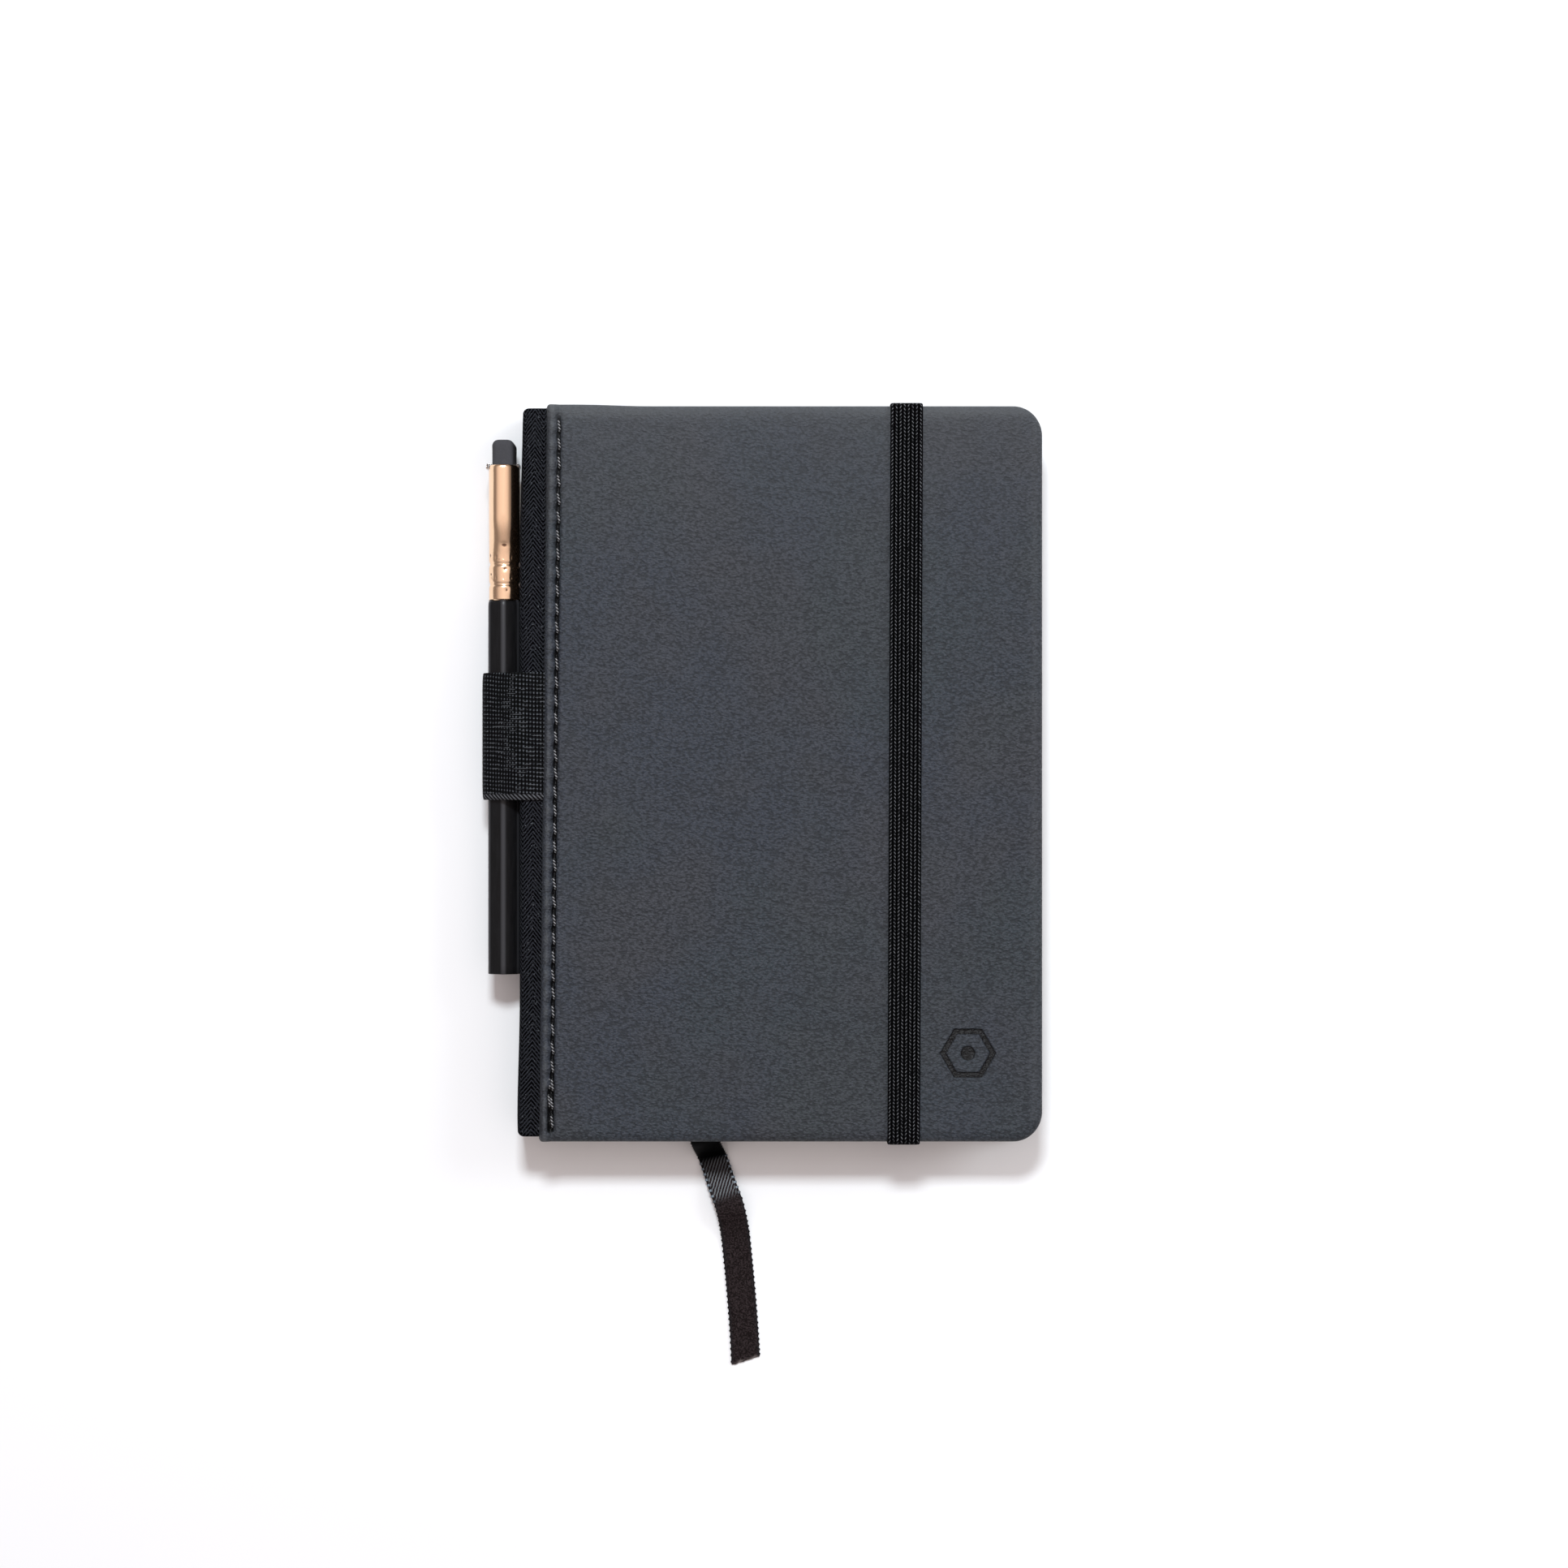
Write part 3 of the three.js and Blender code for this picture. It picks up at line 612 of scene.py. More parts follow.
RIBBON_ROUTE = [
    (-16.45, -74.3, RIBBON_LEVEL), (-16.05, -75.7, 9.5), (-15.6, -77.2, 8.0), (-15.2, -78.4, 5.6),
    (-14.8, -79.5, 3.0), (-14.4, -80.6, 1.1), (-13.9, -82.0, 0.75), (-13.0, -84.6, 1.35),
    (-12.0, -87.4, 2.05), (-11.0, -90.0, 2.65), (-10.4, -92.2, 2.6), (-9.9, -94.8, 1.5),
    (-9.5, -97.6, 0.6), (-9.1, -101.5, 0.32), (-8.7, -105.5, 0.3), (-8.3, -110.0, 0.3),
    (-7.9, -115.0, 0.3), (-7.6, -119.5, 0.3), (-7.4, -123.7, 0.3),
]
RIBBON_WIDTH, RIBBON_THICK = 5.9, 0.26


def picots(along):
    """Small loops along each edge."""
    return 0.22 * np.maximum(0, np.sin(along * TURN / PICOT_PITCH))


def slanted_end(piece, slant):
    """Cuts the ribbon's free end at a slant, its far corner longest."""
    end = RIBBON_ROUTE[-1]
    for vertex in piece.data.vertices:
        past = np.clip((vertex.co.y * 1000 + 112) / (end[1] + 112), 0, 1)
        place = (vertex.co.x * 1000 - end[0]) / RIBBON_WIDTH
        vertex.co.y += mm(past ** 3 * (slant * place + 0.12 * math.sin(place * 23)))


def ribbon_relief(along, across):
    """Corded edges, and beads where the cut end was melted."""
    cord = 0.05 * hill(np.abs(across) - 2.6, 0.22)
    beads = 0.16 * melted(along, across) * (0.6 + 0.4 * np.sin(across * 5.1))
    return cord + beads


def melted(along, across):
    """Where the cut end was melted, unevenly."""
    return hill(along.max() - along, 0.28) * (0.55 + 0.45 * np.sin(across * 2.3 + 4.0))


ribbon_path = smooth_path(RIBBON_ROUTE, 0.3)
ribbon_tail = strip("ribbon_tail_satin", ribbon_path, (1, 0.12, 0), RIBBON_WIDTH, RIBBON_THICK, 25, SATIN,
                    relief=ribbon_relief, edge=picots, marks={"melted": melted})
slanted_end(ribbon_tail, 1.7)
settled(ribbon_tail, "back_case", "satin_ribbon", "ribbon_tail")
ribbon_length = float(np.linalg.norm(np.diff(ribbon_path, axis=0), axis=1).sum())
[mm(v) for v in RIBBON_ROUTE[0]]
mm(ribbon_length)
mm(RIBBON_WIDTH)

held_route = smooth_path([(LEAF_LEFT + 3.3, LEAF_HEAD - 0.4, RIBBON_LEVEL), (-38, 20, RIBBON_LEVEL),
                          (-25, -34, RIBBON_LEVEL), (-16.5, -LEAF_HEAD - 0.35, RIBBON_LEVEL)], 1.0)
ribbon_held = strip("ribbon_held_satin", held_route, (1, 0.22, 0), RIBBON_WIDTH, RIBBON_THICK, 15, SATIN,
                    edge=picots)
settled(ribbon_held, "back_case", "satin_ribbon", "ribbon_marker")

# ---- leather covers

STITCHES = 39
FIRST_HOLE = SEAM_REACH - 0.3
STITCH_PITCH = 2 * FIRST_HOLE / STITCHES
BACK_TACK = 0.62  # how far the stitches sewn back at the tail lie beside the seam
EDGE_ROLL = 1.7  # rounding of the cover's outer edge
CORNER = 6.0
SPINE_CORNER = 0.8
SKEW = 0.8  # the seam side leans by this much from middle to head and tail
MARK_X, MARK_Y = FORE - 15.4, PANEL_TAIL + 18.2  # middle of the pressed emblem
MARK_SIZE, MARK_DEPTH = 5.2, 0.34


def lean(y):
    return SKEW * y / HEAD


def seam_x(y):
    return SEAM_X - 0.15 + lean(y)


def stitch_y(k):
    """The hole before stitch k, counted from the head."""
    return FIRST_HOLE - k * STITCH_PITCH


def hexagon_reach(x, y):
    """How far a point is from the middle, measured so that a hexagon's sides are level."""
    x, y = np.abs(x), np.abs(y)
    return np.maximum(y, y * 0.5 + x * math.sqrt(3) / 2)


def emblem(x, y):
    """A pencil seen end on: a pressed hexagonal ring and a round core. 1 where it is pressed."""
    reach = hexagon_reach(x - MARK_X, y - MARK_Y)
    ring = soft_step(reach, MARK_SIZE - 1.45, MARK_SIZE - 1.15)
    ring = ring * (1 - soft_step(reach, MARK_SIZE - 0.3, MARK_SIZE))
    core = 1 - soft_step(np.hypot(x - MARK_X, y - MARK_Y), 1.35, 1.65)
    return np.maximum(ring, core)


def close_steps(width, power, count):
    """Distances from an edge that start close together and open out."""
    return width * np.linspace(0, 1, count) ** power


def cover_columns(with_emblem):
    """Places across the cover: close at its edges, its seam and what is pressed into it."""
    parts = [PANEL_LEFT + close_steps(0.85, 1.5, 6), np.arange(PANEL_LEFT + 0.9, PANEL_LEFT + 5.2, 0.16),
             np.arange(PANEL_LEFT + 5.6, FORE - 3.2, 2.4), FORE - close_steps(3.0, 1.8, 9)]
    if with_emblem:
        parts.append(np.arange(MARK_X - 6.6, MARK_X + 6.6, 0.2))
    else:
        parts.append(BAND_X + np.concatenate([np.linspace(-4.6, -3.2, 8), np.linspace(3.2, 4.6, 8)]))
    return np.unique(np.round(np.concatenate(parts), 3))


def cover_rows(with_emblem):
    edge = close_steps(4.0, 2.0, 16)
    parts = [-HEAD + edge, HEAD - edge, np.arange(-HEAD + 4, HEAD - 3.9, 0.31)]
    if with_emblem:
        parts.append(np.arange(MARK_Y - 5.6, MARK_Y + 5.6, 0.155))
    return np.unique(np.round(np.concatenate(parts), 2))


def cover_shape(with_emblem):
    """Plan places and lift of the outer face, over a grid that follows the cover's outline."""
    x, y = np.meshgrid(cover_columns(with_emblem), cover_rows(with_emblem), indexing="ij")
    over = np.clip(np.abs(y) - (HEAD - CORNER), 0, CORNER)
    right = FORE - CORNER + np.sqrt(CORNER ** 2 - over ** 2)
    hold = FORE - CORNER - 3
    x = np.where(x > hold, hold + (x - hold) * (right - hold) / (FORE - hold), x)
    over = np.clip(np.abs(y) - (HEAD - SPINE_CORNER), 0, SPINE_CORNER)
    left = PANEL_LEFT + SPINE_CORNER - np.sqrt(SPINE_CORNER ** 2 - over ** 2)
    inner = PANEL_LEFT + 2
    x = np.where(x < inner, inner - (inner - x) * (inner - left) / (inner - PANEL_LEFT), x)
    corner = np.hypot(np.maximum(x - (FORE - CORNER), 0), np.maximum(np.abs(y) - (HEAD - CORNER), 0))
    in_corner = (x > FORE - CORNER) & (np.abs(y) > HEAD - CORNER)
    inside = np.where(in_corner, CORNER - corner, np.minimum(FORE - x, HEAD - np.abs(y)))
    inside = np.minimum(inside, (x - left) * 1.4)
    inside = inside * (1 - 0.35 * (y < -HEAD + 4))
    near = np.clip(inside, 0, EDGE_ROLL)
    lift = -(EDGE_ROLL - np.sqrt(EDGE_ROLL ** 2 - (EDGE_ROLL - near) ** 2)) * 0.9
    near_spine = 1 - soft_step(x, PANEL_LEFT + 6, PANEL_LEFT + 22)
    y = y + np.sign(y) * soft_step(np.abs(y), HEAD - 6, HEAD) * (0.15 + 0.35 * near_spine * (y > 0))
    x = x + lean(y) * (1 - soft_step(x, PANEL_LEFT + 6, PANEL_LEFT + 30))
    return x, y, lift


def seam_relief(x, y):
    """Height beside the seam, where it is pressed, and how hard the nearest hole pulls.

    The turned-over edge is puffed between its fold and the stitches, and each stitch pulls it in.
    """
    seam = seam_x(y)
    fold = PANEL_LEFT + lean(y)
    pull = 0.5 + 0.5 * np.cos(TURN * (FIRST_HOLE - y) / STITCH_PITCH)
    share = np.clip((x - fold) / (seam - fold), 0, 1)
    bead = 0.85 * np.sin(math.pi * share ** 0.9) ** 0.8 * (1 - 0.62 * pull * share)
    sewn = soft_step(SEAM_REACH + 0.4 - np.abs(y), 0, 0.8)
    gap = x - seam + 0.22 * (pull - 0.5)
    groove = (0.45 + 0.35 * pull) * hill(gap, 0.36 + 0.16 * pull) * sewn
    swell = 0.13 * hill(x - seam - 1.2, 0.7) * (1 - 0.5 * pull)
    tack = soft_step(-y, SEAM_REACH - 10, SEAM_REACH - 9) * hill(x - seam + BACK_TACK, 0.45) * sewn
    pressed = tack + np.exp(-(gap / (0.31 + 0.22 * pull)) ** 4) * sewn
    return bead - groove - 0.8 * tack + swell, pressed, pull


def band_channel(x, y):
    """The band's bed under the back cover, from each edge to its slot."""
    return (1 - soft_step(np.abs(x - BAND_X), 3.55, 3.85)) * soft_step(np.abs(y), HEAD - 10.9, HEAD - 10.6)


def wear_and_painted_light(x, y, pull):
    """Edge wear along the rim, and painted light: highlights between holes, at the fold and on the head rim,
    and lighter toward the head.
    """
    rim = np.clip(np.minimum(FORE - x, HEAD - np.abs(y)), 0, 9)
    from_fold = x - PANEL_LEFT - lean(y)
    # edge wear along the rim, left off at the tail, whose edge stays dark as the shaded side
    worn_and_lit = hill(rim - 1.4, 0.9) * (0.55 + 0.45 * np.sin(y / 7.3) * np.cos(x / 11.7)) * (y > -HEAD + 4)
    # painted highlights: on the puffed edge between holes, and on the fold
    worn_and_lit = worn_and_lit + 1.6 * hill(from_fold - 1.2, 0.45) * (1 - 0.8 * pull) + 0.9 * hill(from_fold - 0.12, 0.14)
    # painted light growing toward the head, and a painted highlight on the head rim
    return worn_and_lit + 0.85 * np.exp((y - HEAD) / 20) + 1.3 * np.exp((y - HEAD) / 1.8)


def leather_cover(name, outward, with_emblem):
    """A panel of leather, turned over its board's edges, on the front (outward 1) or the back (-1)."""
    x, y, lift = cover_shape(with_emblem)
    bumps, pressed, pull = seam_relief(x, y)
    wave = 0.05 * np.sin(x / 9.1 + 1.3) * np.sin(y / 12.7) + 0.04 * np.sin(x / 21 - y / 17)
    lift = lift + bumps + wave * soft_step(x, PANEL_LEFT + 4, PANEL_LEFT + 12)
    if with_emblem:
        pressed = np.maximum(pressed, emblem(x, y))
        lift = lift - MARK_DEPTH * emblem(x, y)
    else:
        lift = np.minimum(lift, 0)
        lift = lift - band_channel(x, y) * np.maximum(0, 0.97 + lift)
    worn_and_lit = wear_and_painted_light(x, y, pull)
    columns, rows = x.shape
    face = THICK if outward > 0 else 0
    z = face + outward * lift
    top = np.stack([x, y, z], axis=-1).reshape(-1, 3)
    grid = np.arange(columns * rows).reshape(columns, rows)
    corners = [grid[:-1, :-1], grid[1:, :-1], grid[1:, 1:], grid[:-1, 1:]]
    faces = np.stack(corners, axis=-1).reshape(-1, 4).tolist()
    loop = np.concatenate([grid[:-1, 0], grid[-1, :-1], grid[:0:-1, -1], grid[0, :0:-1]])
    outline = top[loop]
    ahead = np.roll(outline, -1, axis=0)[:, :2] - np.roll(outline, 1, axis=0)[:, :2]
    out = np.stack([ahead[:, 1], -ahead[:, 0]], axis=1)
    out /= np.linalg.norm(out, axis=1)[:, None]
    inner_face = BOARD_LOW - 0.06 if outward > 0 else THICK - BOARD_LOW + 0.06
    turn = 0.75  # radius of the edge that is turned under
    points, rings = [top], [loop]
    levels = [(0.04, face - outward * 1.7), (0, inner_face + outward * turn)]
    levels += [(-turn * (1 - math.cos(a)), inner_face + outward * turn * (1 - math.sin(a)))
               for a in np.linspace(0.3, math.pi / 2, 5)]
    levels.append((-3.2, inner_face))
    count = len(top)
    for offset, level in levels:
        ring = outline.copy()
        ring[:, :2] += out * offset
        ring[:, 2] = level
        points.append(ring)
        rings.append(np.arange(count, count + len(loop)))
        count += len(loop)
    for upper, under in zip(rings, rings[1:]):
        for a, b, c, d in zip(upper, np.roll(upper, -1), np.roll(under, -1), under):
            faces.append((a, d, c, b))
    faces.append(tuple(rings[-1]))
    points = np.concatenate(points)
    blank = np.zeros(len(points) - len(top))
    marks = {"pressed": np.concatenate([pressed.ravel(), blank]),
             "worn_and_lit": np.concatenate([np.clip(worn_and_lit, 0, 3).ravel(), blank])}
    return make_piece(name, points, faces, LEATHER, marks)


settled(leather_cover("front_leather", 1, True), "front_cover", "leather", "front_leather_panel")
settled(leather_cover("back_leather", -1, False), "back_case", "leather", "back_leather_panel")

# ---- repeated pieces, by Geometry Nodes


class Repeat(Nodes):
    """A Geometry Nodes tree with named inputs, which repeats one object along a line."""

    KINDS = {"Object": "NodeSocketObject", "Count": "NodeSocketInt", "Start": "NodeSocketVector",
             "Step": "NodeSocketVector", "Turn": "NodeSocketVector", "Scatter": "NodeSocketVector",
             "Tilt": "NodeSocketVector", "Seed": "NodeSocketInt", "Finish": "NodeSocketMaterial"}

    def __init__(self, name):
        tree = bpy.data.node_groups.new(name, "GeometryNodeTree")
        super().__init__(tree)
        tree.interface.new_socket("Geometry", in_out="OUTPUT", socket_type="NodeSocketGeometry")
        self.sockets = {key: tree.interface.new_socket(key, in_out="INPUT", socket_type=kind)
                        for key, kind in self.KINDS.items()}
        given = self.add("NodeGroupInput")
        line = self.add("GeometryNodeMeshLine", {"mode": "OFFSET"},
                        {"Count": given["Count"], "Start Location": given["Start"], "Offset": given["Step"]})
        scatter = self.spread(given["Scatter"], given["Seed"])
        moved = self.add("GeometryNodeSetPosition", {}, {"Geometry": line["Mesh"], "Offset": scatter})
        tilt = self.spread(given["Tilt"], given["Seed"])
        turned = self.add("ShaderNodeVectorMath", {"operation": "ADD"}, {0: tilt, 1: given["Turn"]})
        rotation = self.add("FunctionNodeEulerToRotation", {}, {0: turned["Vector"]})
        shape = self.add("GeometryNodeObjectInfo", {}, {"Object": given["Object"]})["Geometry"]
        copies = self.add("GeometryNodeInstanceOnPoints", {},
                          {"Points": moved["Geometry"], "Instance": shape, "Rotation": rotation[0]})
        real = self.add("GeometryNodeRealizeInstances", {}, {"Geometry": copies["Instances"]})
        dressed = self.add("GeometryNodeSetMaterial", {},
                           {"Geometry": real["Geometry"], "Material": given["Finish"]})
        self.add("NodeGroupOutput", {}, {0: dressed["Geometry"]})

    def spread(self, reach, seed):
        """A random vector up to reach each way."""
        less = self.add("ShaderNodeVectorMath", {"operation": "SCALE"}, {0: reach, "Scale": -1.0})
        return self.add("FunctionNodeRandomValue", {"data_type": "FLOAT_VECTOR"},
                        {0: less["Vector"], 1: reach, "Seed": seed})[0]

    def make(self, name, shape, **values):
        """The repeated shape as one plain mesh piece."""
        holder = bpy.data.objects.new(name, bpy.data.meshes.new(name + "_holder"))
        scene.collection.objects.link(holder)
        modifier = holder.modifiers.new("repeat", "NODES")
        modifier.node_group = self.tree
        still = (0.0, 0.0, 0.0)
        for key, value in {"Object": shape, "Turn": still, "Scatter": still, "Tilt": still, **values}.items():
            modifier[self.sockets[key].identifier] = value
        evaluated = holder.evaluated_get(bpy.context.evaluated_depsgraph_get())
        mesh = bpy.data.meshes.new_from_object(evaluated)
        holder.modifiers.clear()
        holder.data = mesh
        bpy.data.objects.remove(shape)
        return holder


REPEAT = Repeat("repeat_along_line")


def twisted_stitch(length):
    """Two plies twisted round each other, rising out of one hole and diving into the next."""
    plies, rings, around = 2, 17, 5
    t = np.linspace(0, 1, rings)
    points, faces, along, painted_glint = [], [], [], []
    for ply in range(plies):
        turn = TURN * (2.2 * t + ply / plies)
        middle_z = 0.16 - 0.75 * np.abs(2 * t - 1) ** 4
        taper = 1 - 0.25 * np.abs(2 * t - 1) ** 3
        line = [0.17 * np.cos(turn) * taper, (t - 0.5) * length, middle_z + 0.13 * np.sin(turn)]
        line = np.stack(line, axis=1)
        first = len(points)
        for i in range(rings):
            for j in range(around):
                angle = TURN * j / around
                reach = 0.21 * taper[i]
                points.append(line[i] + np.array([math.cos(angle) * reach, 0, math.sin(angle) * reach]))
                along.append(t[i] * length)
                # where each ply's top turns up: painted glints
                on_top = max(0, math.sin(angle)) ** 3 * max(0, math.sin(turn[i])) ** 2
                painted_glint.append(on_top * (middle_z[i] > -0.05))
        faces += [tuple(first + v for v in face) for face in ring_faces(rings, around)]
    return make_piece("stitch_shape", points, faces, THREAD, {"along": along, "painted_glint": painted_glint})


def stitches(name, outward, count, first_y, aside):
    """A run of stitches down the seam from first_y, moved aside by so much."""
    level = THICK - 0.10 if outward > 0 else 0.30
    slope = (seam_x(first_y - STITCH_PITCH) - seam_x(first_y), -STITCH_PITCH)
    turn = math.atan2(-slope[0], -slope[1])
    return REPEAT.make(
        name, twisted_stitch(STITCH_PITCH * 0.86), Count=count,
        Start=(mm(seam_x(first_y) + aside), mm(first_y), mm(level)), Step=(mm(slope[0]), mm(slope[1]), 0.0),
        Turn=(0.0, 0.0 if outward > 0 else math.pi, -turn + 0.17), Scatter=(mm(0.04), mm(0.03), mm(0.02)),
        Tilt=(0.02, 0.25, 0.05), Seed=7, Finish=THREAD)


def seam(side, outward, body):
    """The whole seam, and two stitches sewn back beside it at the tail."""
    row = stitches(f"{side}_seam_stitches", outward, STITCHES, (stitch_y(0) + stitch_y(1)) / 2, 0)
    settled(row, body, "seam_thread", f"{side}_seam_thread")
    tack = stitches(f"{side}_seam_back_tack", outward, 2, stitch_y(STITCHES - 2.6), -BACK_TACK)
    settled(tack, body, "seam_thread")


seam("front", 1, "front_cover")
seam("back", -1, "back_case")

# ---- paper

GUTTER = [0, 0.4, 0.9, 1.5, 2.2, 3, 4, 5, 6.2, 7.6, 9.2, 11]
LEAF_CORNER = 5.0


def leaf_shape(left, thick, material):
    """One leaf whose fore-edge corners are round, cut often across near the gutter, where a real leaf bends.
    """
    turn = LEAF_FORE - LEAF_CORNER * (1 - np.sin(np.linspace(0, math.pi / 2, 8)))
    xs = np.concatenate([left + np.array(GUTTER), [0.0, 25.0], turn])
    over = np.clip(xs - (LEAF_FORE - LEAF_CORNER), 0, LEAF_CORNER)
    reach = LEAF_HEAD - LEAF_CORNER + np.sqrt(LEAF_CORNER ** 2 - over ** 2)
    rings = [[(x, -y, 0), (x, y, 0), (x, y, thick), (x, -y, thick)] for x, y in zip(xs, reach)]
    points = np.array(rings).reshape(-1, 3)
    return make_piece("leaf_shape", points, ring_faces(len(xs), 4), material, smooth=False)


def leaf_stack(name, node, left, count, material, seed):
    """The leaves of one signature, or a single one, each a little out of line with the next."""
    bottom, top = low(node).z, high(node).z
    pitch = (top - bottom) / count
    thick = pitch - (0.02 if count > 1 else 0)
    scatter = (mm(0.07), mm(0.06), 0.0) if count > 1 else (0.0, 0.0, 0.0)
    made = REPEAT.make(
        name, leaf_shape(left, thick, material), Count=count, Start=(0.0, 0.0, mm(bottom)),
        Step=(0.0, 0.0, mm(pitch)), Scatter=scatter, Seed=seed, Finish=material)
    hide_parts(node)
    return made


def turning(piece, level):
    """Bakes the paper's placing into its points."""
    start = (mm(HINGE_X + 0.2), 0, mm(level))
    mm(HINGE_X + 10)
    mm(level)
    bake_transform(piece)


LEAVES = 8
TURN_LEFT = low("signature_1").x
for number in range(3, 9):
    node = f"signature_{number}"
    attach(leaf_stack(f"{node}_leaves", node, LEAF_LEFT, LEAVES, PAGE, number), "back_case")
for number in (1, 2):
    node = f"signature_{number}"
    turning(leaf_stack(f"{node}_leaves", node, TURN_LEFT, LEAVES, PAGE, number),
            low(node).z)
for node in ("upper_leaf", "lower_leaf"):
    turning(leaf_stack(f"{node}_paper", node, TURN_LEFT, 1, PAGE, 0), low(node).z)
turning(leaf_stack("front_flyleaf_paper", "front_flyleaf", TURN_LEFT, 1, ENDPAPER, 0),
        low("front_flyleaf").z)
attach(leaf_stack("back_flyleaf_paper", "back_flyleaf", LEAF_LEFT, 1, ENDPAPER, 0), "back_case")

front_paste = leaf_stack("front_pastedown", "front_endpaper", LEAF_LEFT, 1, ENDPAPER, 0)
mm(HINGE_X - 0.3)
mm(BOARD_LOW)
mm(PANEL_LEFT + 1.5)
mm(BOARD_LOW)
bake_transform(front_paste)
back_paste = leaf_stack("back_pastedown", "back_endpaper", LEAF_LEFT, 1, ENDPAPER, 0)
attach(back_paste, "back_case")

# ---- spine cloth

CLOTH_THICK = 0.4
CLOTH_CORNER = 1.5


def spine_lean(y):
    """The spine's face is pressed in at the head, and stands out at the tail."""
    return 0.55 * np.sign(y) * soft_step(np.abs(y), 46, 74)


def spine_cloth():
    back_z = low("spine_cloth").z + CLOTH_THICK / 2
    front_z = high("spine_cloth").z - CLOTH_THICK / 2
    face = SPINE_FACE + CLOTH_THICK / 2
    corners = [(PANEL_LEFT + 4.5, back_z), (face, back_z), (face, front_z), (PANEL_LEFT + 4.5, front_z)]
    section = evenly(rounded_corners(corners, [1.7, 1.7]), 0.3)
    path = np.stack([section[:, 0], np.zeros(len(section)), section[:, 1]], axis=1)
    reach = high("spine_cloth").y

    def lap(a, c):
        """The hem turned in at head and tail."""
        beside = np.abs(c) - reach
        return 0.10 * soft_step(beside, -1.6, -0.9) - 0.05 * hill(beside + 2.0, 0.5)

    cloth = strip("spine_twill", path, (0, 1, 0), 2 * reach, CLOTH_THICK, 121, TWILL, relief=lap)
    for vertex in cloth.data.vertices:
        x, y, z = vertex.co * 1000
        inside = max(0.0, SPINE_FACE + CLOTH_CORNER - x)
        cut = CLOTH_CORNER - math.sqrt(max(0.0, CLOTH_CORNER ** 2 - inside ** 2))
        y -= math.copysign(cut * float(soft_step(abs(y), 60, reach)), y)
        y += 0.3
        x += spine_lean(y) * float(soft_step(-x, 47, 53))
        vertex.co = (mm(x), mm(y), mm(z))
    return cloth


twill = spine_cloth()
mm(HINGE_X - 1.4)
mm(THICK - 1.4)
mm(HINGE_X + 0.7)
mm(THICK - 0.2)
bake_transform(twill)
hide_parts("spine_cloth", "front_joint_cloth")

stiffener_y = np.linspace(-73.3, 73.3, 60)
stiffener_x = (low("spine_stiffener").x + high("spine_stiffener").x) / 2 + spine_lean(stiffener_y)
stiffener_line = np.stack([stiffener_x, stiffener_y, 0 * stiffener_y + THICK / 2], axis=1)
stiffener_tall = high("spine_stiffener").z - low("spine_stiffener").z
stiffener = strip("spine_stiffener_board", stiffener_line, (0, 0, 1), stiffener_tall, 0.7, 9, GREYBOARD)
settled(stiffener, "back_case", "greyboard", "spine_stiffener")

# ---- closure band


def band_relief(a, c):
    """Ribs that run the length of the band."""
    return 0.15 * np.abs(np.sin(math.pi * c / BAND_RIB)) ** 0.7 - 0.10


def closure_band():
    side_y = high("closure_band").y - 0.55
    top_z = high("closure_band").z - 0.55
    hem_z = (low("band_end_head").z + 0.94) / 2
    slot_y = low("band_end_head").y + 0.44
    end_z = high("band_end_head").z
    corners = [(slot_y, end_z), (slot_y, hem_z), (side_y, hem_z), (side_y, top_z), (-side_y, top_z),
               (-side_y, hem_z), (-slot_y, hem_z), (-slot_y, end_z)]
    section = evenly(rounded_corners(corners, [0.5, 0.9, 1.1, 1.1, 0.9, 0.5]), 0.3)
    y, z = section[:, 0], section[:, 1]
    x = BAND_X - 0.05 + 0.32 * y / HEAD
    path = np.stack([x, y, z], axis=1)
    return strip("closure_band_braid", path, (1, 0, 0), BAND_WIDTH, 0.65, 57, BAND_BRAID, relief=band_relief)


band = closure_band()
mm(1.5)
mm(THICK)
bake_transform(band)
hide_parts("closure_band", "band_end_head", "band_end_tail")

# ---- pencil loop

LOOP_THICK = 0.8


def loop_relief(a, c):
    """Cords side by side, and a braided edge on each side."""
    half = LOOP_WIDTH / 2
    column = a / LOOP_CORD
    ribs = np.abs(np.sin(math.pi * column))
    rows = np.sin(TURN * (c + np.floor(column) * 0.06) / LOOP_ROW)
    weave = 0.13 * ribs ** 0.7 * (0.72 + 0.28 * rows) - 0.10
    braid = 0.05 * np.sin(TURN * (a + np.abs(c)) / 0.9) + 0.07
    selvedge = soft_step(np.abs(c), half - 1.5, half - 1.2)
    return weave * (1 - selvedge) + braid * selvedge


